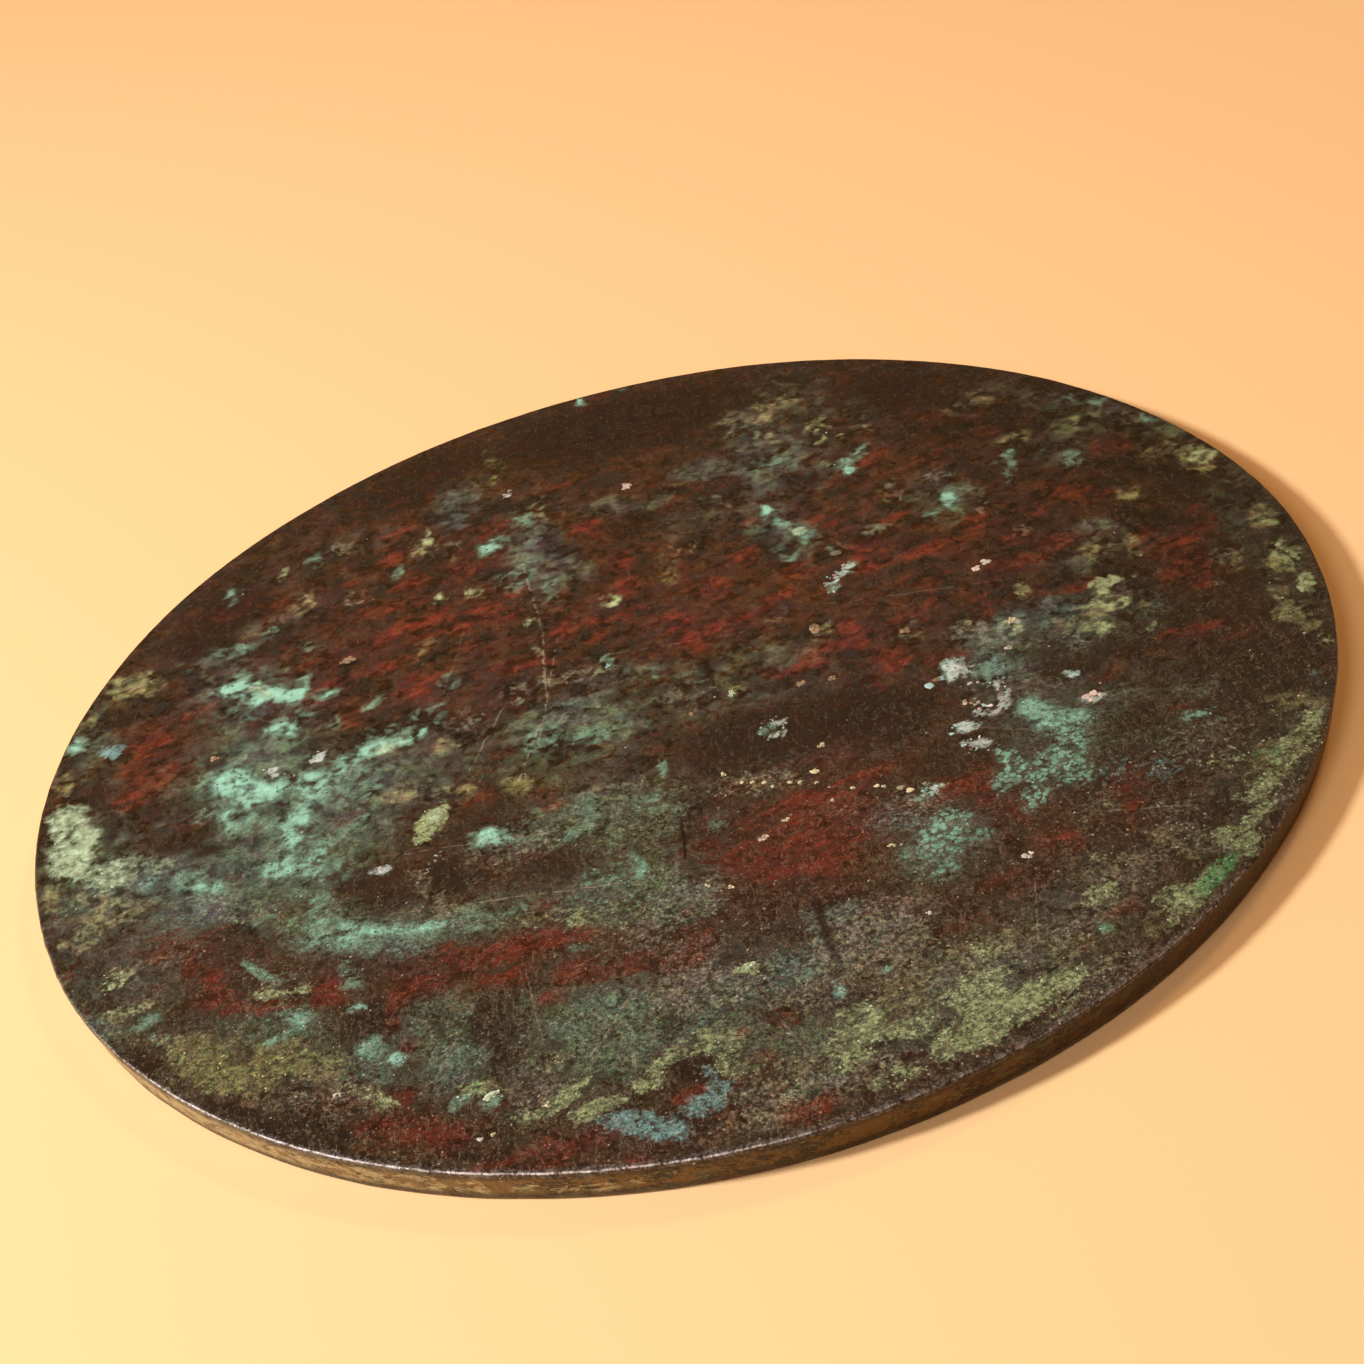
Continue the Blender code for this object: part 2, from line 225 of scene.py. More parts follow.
BLUE_CRUST = (
    (-79.3, 20.2, 6, 3, -30, 0.95), (-14, -82.8, 9, 4.4, -22, 1.0), (-17.5, -81, 5, 3, 0, 0.75),
    (-11, -85, 4, 2, 0, 0.75), (-19, -80, 4, 2.4, 0, 0.55), (-7, -81, 6, 3.6, 0, 0.85),
    (-5, -79.6, 3, 3, 0, 0.75), (-6.4, -77.2, 2, 4, 0, 0.55), (-42, -60.6, 3, 2.4, 0, 0.5),
    (-46.5, -49.2, 3, 2, 0, 0.5), (10.8, -68.2, 3, 3, 0, 0.4), (-73.4, -12.4, 2, 2.2, 0, 0.8),
    (52, -41, 6, 5, 0, 0.3), (58, -43, 6, 6, 0, 0.34), (81, -32, 2, 4, 0, 0.35), (43.4, -13, 3, 6, 0, 0.35),
)

LIGHT_MALACHITE = (
    (-34.2, -15.5, 8.5, 3.4, 55, 1.1), (22.5, -82, 8, 5, 20, 1.0), (27, -79.6, 9, 5.5, 22, 1.0),
    (31.5, -77.8, 9, 4.4, 18, 1.0), (36, -76.2, 6, 3.2, 20, 0.85), (25, -75.5, 9, 5, 10, 0.62),
    (28, -72.5, 8, 4, 0, 0.5), (12, -74.2, 7, 4.6, 0, 0.78), (14, -77.2, 6, 4, 0, 0.85),
    (9, -78.5, 5, 5, 0, 0.85), (10, -81, 7, 2.2, 10, 0.6), (18.5, -77.5, 5, 4, 0, 0.6),
    (14.5, -85, 7, 3.4, 0, 0.55), (34, -81, 7, 2.6, 25, 0.55), (-33, -68.4, 5.4, 2.8, 0, 0.72),
    (-24.5, -74.6, 9, 2.4, 15, 0.72), (-22.2, -73.4, 3.4, 2.4, 0, 0.95), (-20.4, -77.4, 5, 3, 0, 0.95),
    (-18, -77.6, 3, 2, 0, 0.8), (-20.6, -79, 2.4, 1.4, 0, 0.9), (-13, -75, 6, 3.6, 20, 0.72),
    (-10.6, -73.2, 5, 2.4, 15, 0.75), (-7, -71, 7, 3, 0, 0.6), (-4, -72, 6, 6, 0, 0.5),
    (-3, -76, 6, 4, 0, 0.55), (60.5, -59, 5, 5, 0, 0.85), (65, -57, 9, 3.6, 35, 0.8),
    (62, -62, 7, 2.4, 35, 0.8), (53.5, -67.5, 7, 4.4, 15, 0.85), (56.5, -66.4, 6, 3, 40, 0.85),
    (52, -70, 8, 2.4, 30, 0.5), (70, -49, 8, 4, 40, 0.6), (74.5, -45, 5, 6, -20, 0.62),
    (77.2, -41, 5, 3, 30, 0.7), (67, -52, 8, 4, 20, 0.5), (43.5, -63.6, 5, 4, 0, 0.6),
    (66, -44, 7, 5, 0, 0.36), (-43.6, -67.4, 5, 2.4, -50, 0.7), (-47.5, -64.6, 6, 2, -45, 0.5),
    (87, -12, 1.8, 6, 0, 0.8), (86, -4, 3, 5, 20, 0.72), (83, 26, 3.6, 7, 20, 0.7),
    (84.5, -25.5, 1.8, 3.4, 0, 0.6), (28, -68.2, 8, 3.4, 0, 0.5), (-16.7, -43.4, 3.8, 3.4, 0, 0.75),
    (-57.6, -41.8, 5, 2.2, -20, 0.7), (-53.6, -42.8, 4, 2, 0, 0.5), (0.9, -60, 3.6, 2, 25, 1.0),
    (-76, -38.4, 6, 2, -10, 0.6), (32.6, 57.6, 2.4, 5, -20, 0.5), (35, 57, 2, 4, 0, 0.3),
    (-29.8, 57.6, 3, 4.4, 0, 0.5), (-16.8, 26, 2, 4, 0, 0.72), (-5.6, 27.6, 4, 2.6, 0, 0.5),
    (60.5, -4.6, 6, 5, 0, 0.55), (64.5, -12.6, 1.6, 2.6, 0, 0.7), (59, -11.2, 2.4, 3.2, 0, 0.7),
    (47.5, -5, 3, 5, 20, 0.55), (62, -0.6, 5, 2.4, -20, 0.6), (-53, 58.6, 2.6, 4, 0, 0.42),
    (-24, 38, 3, 4, 0, 0.36), (-29, 39, 2.4, 4, 0, 0.36), (45.3, -56.8, 2, 2, 0, 0.75),
    (-78, -31.5, 6, 3, 25, 0.5),
)

OLIVE_EARTH = (
    (-77, 37, 8, 6, -30, 0.78), (-74.5, 35.5, 5, 5, 0, 0.5), (-84, 31, 4, 9, 20, 0.4),
    (-86.5, 16, 3, 10, 5, 0.5), (-87, -8, 3, 12, -5, 0.6), (-82, -15, 10, 8, 0, 0.55),
    (-83, -21.5, 7, 5, 0, 0.6), (-77, -18, 8, 7, 0, 0.42), (-77.5, -31, 7, 5, 30, 0.6),
    (-75.5, -38.6, 7, 3, 0, 0.6), (-68.5, -48, 8, 4.4, -10, 0.7), (-66, -52.4, 9, 6, -20, 0.75),
    (-62, -57, 12, 4.4, -25, 0.95), (-57, -54.6, 10, 6.4, -10, 0.92), (-52, -57.6, 9, 5, -20, 0.75),
    (-49, -61, 6, 4, -40, 0.5), (-45.6, -66.6, 8, 2.2, -50, 0.7), (-58, -62.5, 7, 3, -30, 0.42),
    (-37, -54.6, 6, 8, 0, 0.36), (-63, -48, 5, 3, 0, 0.4), (85.5, -4.5, 4.4, 7, 0, 0.72),
    (82.6, -11, 3.4, 6, 20, 0.65), (83, -17.6, 5, 8, 0, 0.62), (84, -21.6, 3.4, 4.4, 0, 0.7),
    (75.5, -27, 1.8, 5, 0, 0.6), (80, -3, 2, 6, 0, 0.5), (87, 5, 3, 9, 0, 0.5), (85.6, 5, 2.4, 4, 0, 0.4),
    (76, -36.6, 7, 6, 0, 0.62), (79, -38.6, 4, 4, 0, 0.65), (73, -44, 9, 8, 0, 0.62),
    (69, -49, 10, 5, 40, 0.62), (82.8, 24.5, 4, 8, 20, 0.8), (80.4, 29, 3, 5, 0, 0.5),
    (77, 28, 3, 5, 0, 0.3), (71, 20.4, 3.4, 5, 30, 0.42), (55.5, -7.5, 6, 9, 0, 0.55),
    (60, -5, 7, 6, 0, 0.45), (65, -6, 3, 9, 0, 0.45), (48, -59, 6, 4, 0, 0.42), (55, -56, 8, 5, 0, 0.42),
    (57, -60, 6, 5, 0, 0.45), (26, -67.5, 10, 4.4, 10, 0.55), (18.5, -69.6, 6, 2.6, 20, 0.6),
    (22.5, -66, 6, 3, 0, 0.42), (32, -66.4, 7, 4, 0, 0.4), (37, -72, 8, 5, 0, 0.36),
    (48, -71, 9, 3.4, 30, 0.4), (27, -82.6, 5, 2.4, 10, 0.6), (17.5, -73, 8, 5, 20, 0.45),
    (28, 73, 8, 8, 20, 0.3), (25, 64, 4, 9, 0, 0.32), (39.5, 60, 4, 10, 0, 0.36), (20, 68, 6, 9, 0, 0.26),
    (33, 61, 3, 8, 0, 0.4), (9, 53, 3, 3, 0, 0.42), (-17.5, 77, 3, 9, 10, 0.3), (-17.6, 72, 2, 7, 0, 0.3),
    (-32, 26, 6, 6, 0, 0.22), (-12, 57, 8, 9, 0, 0.25), (-30, 55, 4, 9, 0, 0.42),
    (-49.4, 47, 4, 8, 10, 0.32), (67.6, 7.6, 2.4, 6, 10, 0.45), (63.5, 8.4, 6, 6, 0, 0.3),
    (60, 42, 6, 5, 0, 0.3), (70, 43, 8, 4, 0, 0.3), (77, 38, 4, 9, 20, 0.3), (56, 56, 7, 8, 0, 0.2),
    (-42.5, -9.5, 5, 5, 0, 0.42), (-33.6, -9.6, 5, 3, 0, 0.42), (-29, -10.5, 3, 4, 0, 0.6),
    (-38, -7, 9, 5, 0, 0.3), (-30, 1.5, 5, 4, 0, 0.42), (-22.5, -12, 7, 5, 0, 0.32),
    (-12, -18.6, 6, 5, 0, 0.42), (22.5, 6.6, 4, 5, 20, 0.5), (34, 0, 3, 5, 0, 0.5),
    (51, 3, 2.4, 5, 10, 0.5), (9.5, -3, 2, 5, 0, 0.45), (5, 30, 3, 5, 0, 0.2),
)

GREY_GREEN_FILM = (
    (-57, 8, 14, 12, 0, 0.45), (-55, -8, 18, 16, 0, 0.42), (-60, -20, 20, 10, 0, 0.48),
    (-72, -13, 10, 10, 0, 0.36), (-42, -2, 14, 8, 20, 0.36), (-44, -14, 8, 10, 0, 0.3),
    (-49, -32, 16, 9, -20, 0.42), (-33, -38, 16, 6, 0, 0.42), (-40, -38, 8, 9, 0, 0.42),
    (-58, -40, 14, 9, -30, 0.3), (-20, -22, 20, 9, 10, 0.4), (-8, -26, 16, 12, 0, 0.42),
    (-11, -40, 15, 12, 30, 0.48), (-4, -46, 9, 10, 0, 0.45), (-8, -4, 12, 8, 0, 0.3),
    (-15, 0, 14, 10, 0, 0.4), (-6, 8, 14, 6, 0, 0.3), (-17, -66, 11, 16, 0, 0.8), (-14, -62, 10, 6, 0, 0.6),
    (-9, -68, 9, 6, 0, 0.45), (-20, -62, 7, 6, 0, 0.6), (-36, -56, 7, 12, 0, 0.42),
    (-35, -64, 9, 11, 0, 0.45), (-47, -60, 9, 8, -30, 0.45), (-57, -48, 10, 6, 0, 0.42),
    (-29, -75, 6, 6, 0, 0.35), (-1, -64, 12, 8, 0, 0.5), (-3, -71, 9, 9, 0, 0.42), (7, -62, 8, 10, 0, 0.5),
    (10, -55, 2.4, 8, 0, 0.6), (14.4, -54, 6, 4, 0, 0.55), (16, -62, 13, 12, 0, 0.4),
    (5, -76, 7, 8, 0, 0.42), (5, -83, 8, 4, 0, 0.5), (20, -72, 9, 6, 0, 0.42), (30, -73, 12, 5, 10, 0.5),
    (24, -40, 9, 5, -20, 0.42), (27, -49, 12, 10, 0, 0.3), (47, -35, 14, 14, 0, 0.28),
    (62, -38, 14, 10, 0, 0.24), (54, -32, 10, 9, 0, 0.2), (56, -26, 9, 6, 0, 0.28),
    (66, -28, 10, 8, 0, 0.22), (44, -9, 8, 12, 0, 0.42), (47, -4, 6, 8, 0, 0.5), (55, -7, 9, 11, 0, 0.5),
    (46, -15, 8, 8, 0, 0.3), (66, -8, 7, 9, 0, 0.3), (60, 5, 8, 6, 0, 0.3), (64, 14, 7, 3, 0, 0.36),
    (22, 48, 9, 7, 0, 0.2), (24, 55, 13, 6, 0, 0.3), (14, 57, 10, 6, 0, 0.32), (-2, 53, 9, 6, 0, 0.28),
    (4, 51.5, 8, 3, 0, 0.35), (-14, 45, 8, 14, 0, 0.36), (-9, 38, 7, 9, 0, 0.3), (-26, 62, 4, 9, 20, 0.28),
    (-24, 66, 6, 4, -30, 0.28), (-54, 44, 14, 6, 0, 0.2), (-62, 38, 8, 6, 0, 0.3), (48, 31, 6, 8, 0, 0.3),
    (65, 36, 9, 9, 0, 0.24), (70, 43, 10, 6, 0, 0.22), (20, 33, 6, 8, 20, 0.3), (22, 64, 8, 14, 0, 0.24),
    (40, 62, 5, 9, 0, 0.22), (72, 50, 6, 8, 40, 0.26), (82, 35, 4, 9, 20, 0.28), (-40, 62, 12, 8, 0, 0.12),
    (10, 42, 12, 8, 0, 0.14), (13, 3, 12, 8, 0, 0.16), (33, -40, 8, 12, 0, 0.14), (12, -22, 10, 6, 0, 0.2),
    (-80, -40, 4, 10, 30, 0.4), (-71, -55, 4, 9, 50, 0.3),
)

PALE_MINT = (
    (-85.5, 7.6, 5, 6.4, -30, 0.95), (-84.8, 0.6, 6.4, 9, 0, 1.1), (-84.6, -4, 5.6, 6, 0, 1.0),
    (-86.4, 3.6, 3.6, 10, 0, 0.8), (-82.2, -7, 7, 4, -20, 0.75), (-79.4, -8.6, 7, 7, 0, 0.7),
    (-76.4, -7.6, 6, 4, 0, 0.35), (-71.6, -10, 5, 3, 0, 0.3), (-57, 26.2, 5, 2.2, -35, 0.6),
    (-39.2, 4.6, 4, 1.4, 5, 0.5), (-33.6, -14.2, 4, 1.6, 55, 0.45), (24.4, 31.8, 2, 2, 0, 0.5),
)

LILAC_CRUST = (
    (37.6, -11.6, 2.4, 4.6, -20, 0.95), (39.8, -12.6, 1.6, 3.4, 0, 0.5), (40.0, -21.8, 3.8, 1.8, -20, 0.9),
    (42.9, -20.0, 1.8, 4.0, 0, 0.85), (42.2, -16.6, 3.0, 1.4, 20, 0.7), (39.0, -17.6, 1.2, 3.0, -20, 0.5),
    (36.4, -24.5, 4.0, 1.7, 10, 1.0), (37.0, -28.8, 3.6, 2.2, -20, 0.85), (35.0, -27.2, 1.6, 2.2, 0, 0.6),
    (-55.6, 5.0, 1.6, 3.2, 30, 1.0), (-49.2, 6.7, 3.2, 1.4, 40, 0.9), (28.2, 19.2, 4.2, 1.8, 30, 0.8),
    (26.2, 15.6, 1.4, 4.0, 10, 0.65), (53.5, -24.7, 3.4, 2.6, 10, 0.75), (52.4, -19.0, 2.4, 1.8, 0, 0.6),
    (-42.2, -22.6, 2.4, 1.8, 10, 0.7), (12.4, -12.6, 3.0, 0.9, 10, 0.5), (12.6, -15.8, 2.8, 0.9, -10, 0.5),
    (48.0, -4.0, 1.8, 3.2, 0, 0.6), (-16.6, 64.3, 1.8, 1.4, 0, 0.6), (29.6, -35.9, 3.0, 1.6, 10, 0.6),
)

GRANULAR_HAZE = (
    (16, -61, 15, 14, 0, 0.85), (22, -58, 8, 6, 0, 0.5), (-4, -62, 14, 8, 0, 0.72), (8, -67, 10, 8, 0, 0.6),
    (-5, -55, 10, 7, 0, 0.5), (2, -82, 12, 8, 0, 0.7), (12, -83, 14, 5, 0, 0.55), (-2, -86, 10, 4, 0, 0.6),
    (24, -70, 20, 9, 20, 0.6), (36, -70, 14, 10, 20, 0.5), (46, -62, 12, 9, 20, 0.55),
    (54, -57, 9, 7, 30, 0.5), (40, -77, 14, 4, 25, 0.6), (-26, -67, 8, 12, 0, 0.35),
    (-50, -65, 12, 8, -30, 0.4), (-26, -74, 6, 6, 0, 0.5), (-10, -46, 12, 12, 0, 0.42),
    (-3, -45, 8, 8, 0, 0.5), (26, -38, 9, 7, -20, 0.55), (17, -33, 8, 5, 0, 0.4),
    (8, -25, 14, 5, -20, 0.45), (-8, -21, 16, 9, 0, 0.42), (-22, -25, 16, 6, 0, 0.4),
    (-36, -30, 3, 14, 20, 0.5), (-34, -36, 9, 4, -35, 0.55), (-22, -41, 12, 4, 0, 0.4),
    (-27, -29, 12, 4, 10, 0.3), (-60, -24, 9, 5, 0, 0.5), (-63.5, -21.5, 2.4, 6, 15, 0.7),
    (-70, -30, 8, 8, 0, 0.3), (-12, 10, 14, 5, 0, 0.36), (-20, 9, 8, 6, 0, 0.42), (-28, 6, 8, 6, 40, 0.3),
    (-12, 0, 10, 6, 0, 0.4), (3, -2, 12, 8, 0, 0.26), (46, -6, 7, 10, 0, 0.5), (41, -3, 6, 5, 0, 0.42),
    (47, -19, 8, 4, -40, 0.42), (53, -11, 8, 4, -20, 0.4), (66, -1, 9, 4, 0, 0.3), (78, -1, 4, 5, 0, 0.36),
    (75, -8, 8, 6, 0, 0.2), (64, -40, 12, 9, 0, 0.3), (48, -47, 7, 10, 0, 0.3), (57, -52, 8, 6, 0, 0.3),
    (68, -55, 7, 3, 40, 0.5), (-16, 20, 3, 16, -5, 0.3), (-42, 45, 6, 5, 0, 0.36), (-42, 61, 9, 6, 0, 0.28),
    (-26, 52, 4, 8, 0, 0.25), (7, 35, 8, 6, 0, 0.25), (14, 46, 6, 5, 0, 0.3), (40, 37, 4, 6, 0, 0.36),
    (47.5, 37, 5, 5, 0, 0.42), (35, 28, 6, 5, 0, 0.4), (50, 27, 3, 5, 0, 0.4), (29, 25, 4, 4, 0, 0.4),
    (18, 13, 6, 5, 0, 0.32), (54, 17, 4, 4, 0, 0.36), (-47, -28, 9, 7, 0, 0.12),
)

DARK_METAL = (
    (6, 77, 46, 18, 0, 0.85), (45, 66, 18, 12, -35, 0.7), (-30, 76, 24, 12, 25, 0.6),
    (-60, 52, 10, 16, 40, 0.5), (-66, 45, 10, 12, 0, 0.6), (14, -15, 26, 12, 0, 0.6),
    (27, -17, 16, 12, 0, 0.6), (33, -30, 10, 10, 0, 0.42), (57, -32, 9, 6, 0, 0.6), (48, -15, 8, 8, 0, 0.4),
    (58, -15, 16, 5, 0, 0.4), (79, 19, 6, 9, 0, 0.6), (-68, -5, 9, 6, 0, 0.6), (-62, -9, 9, 3, 0, 0.7),
    (-69, 3, 10, 6, 0, 0.5), (-66, -48, 5, 3, 0, 0.3), (-61.2, -53.4, 3.6, 3.4, 0, 1.0),
    (-46, -52.4, 7, 8, 0, 0.7), (-30, -60, 9, 15, 0, 0.65), (-54, -69, 12, 5, -35, 0.7),
    (-48, -76, 14, 2.4, -33, 0.8), (-46, -62.5, 4, 4, 0, 0.4), (-8, -75.4, 5, 4.6, 0, 0.9),
    (-8.4, -66.6, 6, 4, 0, 0.65), (-16, -72.4, 4, 4, 30, 0.42), (11.4, -57, 1.6, 12, 0, 0.8),
    (9, -70, 5, 5, 0, 0.5), (33, -73.6, 5, 3, -30, 0.85), (16.6, -82, 5, 2.2, 0, 0.8),
    (29.4, -81.4, 6, 2.4, 25, 0.9), (11, -80.4, 10, 1.4, 10, 0.7), (20.6, -83.6, 4, 2, 0, 0.7),
    (36, -79.2, 10, 1.4, 25, 0.8), (44, -76, 10, 1.4, 30, 0.7), (13.5, -79.6, 5, 1.2, 0, 0.6),
    (7, -80, 2, 3, 0, 0.5), (-33.4, -27.6, 6, 8, 10, 0.62), (-43, -25, 8, 9, 0, 0.5),
    (-42, -30, 8, 5, 0, 0.45), (-47, -23, 3, 5, 0, 0.5), (-17, -31, 9, 9, 0, 0.4),
    (-2, -30, 1.2, 9, 0, 0.7), (52, -39, 20, 9, 20, 0.34), (-10, -82, 16, 4, -5, 0.4),
    (-80, -28, 6, 5, 0, 0.5), (-79.5, -36, 5, 4, 20, 0.6), (-75, -50, 5, 9, 35, 0.65),
    (-64, -62, 12, 3, -33, 0.7), (60, -54, 8, 4, 0, 0.65), (67, -40, 6, 3, 0, 0.4),
    (66, -60.4, 8, 2.2, 40, 0.7), (61, -66, 3, 3, 0, 0.4), (3, 46, 12, 9, 0, 0.42), (26, 46, 9, 6, 0, 0.4),
    (55, 50, 12, 12, 0, 0.4), (30, 66, 8, 6, 0, 0.3), (-52.4, -8, 2.6, 5, 10, 0.6),
    (-22, -5, 10, 5, 0, 0.3), (-50, 10, 14, 3, 10, 0.5), (-36, 9, 12, 4, 0, 0.5), (-57, 19, 5, 3, 0, 0.5),
    (-66, 21, 4, 7, 20, 0.3), (-78, 28, 5, 4, 0, 0.5), (-81, 12, 3, 7, 0, 0.6), (-79, 2, 4, 8, 0, 0.6),
    (47, 53, 9, 8, 0, 0.3),
)

EMERALD = (
    (58, -65.6, 8, 2.6, 42, 1.1), (55, -67.6, 5, 2.6, 30, 0.6), (60.6, -63.2, 3, 2, 40, 0.8),
    (63, -63.8, 4, 1.6, 40, 0.4), (-33, -68, 3, 2, 0, 0.3), (43, -70, 3, 3, 0, 0.4),
    (70, -46, 6, 4, 0, 0.3), (75, -45, 3, 3, 0, 0.35),
)

# Broad thin stains under the patches, in the same form
RED_WASH = (
    (-30, 38, 46, 32, 10, 0.8), (-72, 15, 14, 24, 0, 0.8), (-5, 35, 30, 24, 0, 0.6),
    (10, 18, 34, 22, 0, 0.85), (35, 20, 40, 30, 0, 0.65), (60, 20, 30, 30, 0, 0.5), (75, 0, 12, 24, 0, 0.9),
    (66, -18, 20, 7, 0, 0.5), (40, 46, 40, 16, 0, 0.4), (-20, 15, 30, 18, 0, 0.45),
    (12, -40, 28, 22, 0, 0.95), (22, -28, 28, 8, -20, 0.6), (-30, -46, 34, 12, 0, 0.9),
    (-12, -54, 22, 12, -20, 0.7), (-62, -38, 18, 12, -40, 0.7), (-68, -27, 10, 10, 0, 0.6),
    (48, -48, 22, 20, 0, 0.45), (35, -50, 20, 18, 0, 0.35), (-42, -72, 24, 9, -30, 0.8),
    (-20, -84, 22, 6, -10, 0.6), (3, -84, 18, 8, 0, 0.6), (-48, 22, 16, 18, 0, 0.5),
    (-60, 48, 20, 12, 0, 0.3), (24, 4, 26, 16, 0, 0.5), (-4, 56, 30, 14, 0, 0.3),
    (-36, 66, 16, 22, 0, 0.35), (34, -8, 14, 10, 0, 0.4), (60, -30, 20, 12, 0, 0.3),
)
GREEN_WASH = (
    (-58, 5, 24, 26, 0, 0.9), (-53, -14, 24, 20, 0, 0.9), (-62, -20, 28, 14, 0, 0.75),
    (-70, -12, 20, 10, 0, 0.5), (-40, -4, 26, 16, 20, 0.55), (-45, -34, 28, 10, -20, 0.8),
    (-28, -38, 24, 9, 0, 0.5), (-12, -22, 24, 14, 0, 0.5), (-10, -40, 20, 18, 0, 0.6),
    (-14, -4, 26, 18, 0, 0.5), (-18, -64, 22, 22, 0, 0.8), (-36, -60, 20, 18, 0, 0.6),
    (0, -66, 22, 22, 0, 0.55), (18, -76, 38, 14, 10, 0.7), (48, -30, 16, 22, 0, 0.55),
    (28, -47, 14, 14, 0, 0.55), (55, -8, 24, 16, 0, 0.5), (43, -12, 12, 16, 0, 0.55),
    (-82, -8, 14, 30, 0, 0.7), (-78, -36, 16, 22, 25, 0.45), (-57, -53, 26, 14, -25, 0.65),
    (70, -47, 34, 12, 48, 0.55), (26, 52, 14, 18, 0, 0.4), (22, 34, 8, 20, 20, 0.5),
    (-14, 44, 10, 28, 0, 0.4), (-84, 28, 9, 26, 15, 0.5), (72, 44, 10, 36, 38, 0.35),
    (27, 70, 18, 22, 0, 0.4), (85, 0, 9, 44, 0, 0.5), (-60, 26, 16, 16, -30, 0.5),
    (-24, 66, 10, 16, 0, 0.25), (10, 0, 24, 16, 0, 0.25), (36, -68, 34, 16, 28, 0.5),
    (60, -30, 20, 24, 0, 0.3), (46, 32, 10, 14, 0, 0.35), (64, 10, 18, 10, 0, 0.3),
)

# Single pale grains and blobs of crust, each as (x, y, length, width, turn, tint)
SPECKS = (
    (-16.6, 64.3, 1.5, 1.3, 0, "white"), (1.7, 57.8, 2.4, 2.2, 0, "pink"),
    (46.6, 11.0, 1.9, 1.6, 0, "pink"), (48.3, 12.1, 1.8, 1.5, 0, "white"),
    (37.7, -53.0, 2.0, 1.6, 0, "white"), (-73.3, -12.4, 1.8, 1.6, 0, "blue"),
    (-42.3, -22.6, 1.9, 1.7, 0, "white"), (-41.0, -22.3, 1.0, 0.9, 0, "blue"),
    (0.9, -60.0, 3.0, 1.7, 30, "mint"), (-35.0, -70.0, 1.6, 1.3, 0, "blue"),
    (-31.5, -71.0, 2.8, 1.4, 15, "mint"), (-25.3, -75.0, 1.2, 1.0, 0, "white"),
    (-33.5, -77.5, 1.1, 1.0, 0, "white"), (-32.0, -77.5, 0.9, 0.8, 0, "cream"),
    (14.5, -74.4, 1.4, 1.1, 0, "cream"), (37.8, -76.5, 2.0, 1.2, 20, "pink"),
    (16.8, -66.8, 1.4, 1.1, 0, "blue"), (11.1, -68.3, 1.3, 1.2, 0, "blue"),
    (10.6, -33.9, 1.3, 1.0, 0, "cream"), (7.2, -36.5, 1.5, 1.3, 0, "pink"),
    (1.7, -44.4, 1.1, 1.0, 0, "cream"), (-1.0, -43.1, 1.0, 0.9, 0, "cream"),
    (22.3, -44.5, 1.2, 1.0, 0, "cream"), (23.8, -58.8, 1.1, 0.9, 0, "white"),
    (17.8, -20.3, 1.2, 1.1, 0, "cream"), (22.1, -6.2, 1.4, 1.2, 0, "tan"), (17.9, -5.6, 2.0, 1.6, 0, "tan"),
    (2.4, -6.0, 1.1, 1.0, 0, "tan"), (8.4, -3.8, 2.5, 1.0, 90, "mint"), (22.3, 6.5, 2.8, 2.2, 70, "tan"),
    (33.8, 0.5, 1.6, 1.3, 0, "tan"), (4.4, -21.2, 1.1, 1.0, 0, "cream"), (-44.0, 29.0, 2.8, 2.2, 0, "tan"),
    (-64.0, 12.5, 1.8, 1.4, 0, "tan"), (-7.0, 10.5, 1.3, 1.1, 0, "blue"),
    (-49.7, -64.0, 1.3, 1.1, 0, "white"), (52.5, -19.0, 2.0, 1.7, 0, "blue"),
    (53.5, -24.7, 2.8, 2.4, 20, "pink"), (48.0, -4.0, 2.8, 1.8, 70, "cream"),
    (46.0, -9.5, 1.6, 1.2, 0, "cream"), (-53.0, 3.5, 1.6, 1.3, 0, "pink"),
    (29.3, -35.8, 3.2, 2.0, 10, "blue"),
)

# A dotted arc of small cream beads near the middle of the face, each as (x, y, width)
BEADS = (
    (6.5, -24.0, 0.9), (7.8, -24.5, 0.9), (9.3, -25.2, 1.0), (10.2, -26.5, 0.8), (12.5, -26.5, 1.0),
    (13.8, -27.0, 1.0), (16.0, -25.5, 1.5), (15.8, -28.0, 0.8), (17.0, -32.5, 0.9), (20.0, -31.0, 1.0),
    (23.0, -31.9, 1.0), (23.8, -32.3, 0.9), (25.8, -33.5, 1.4), (26.8, -34.5, 1.4), (28.9, -33.9, 1.0),
)

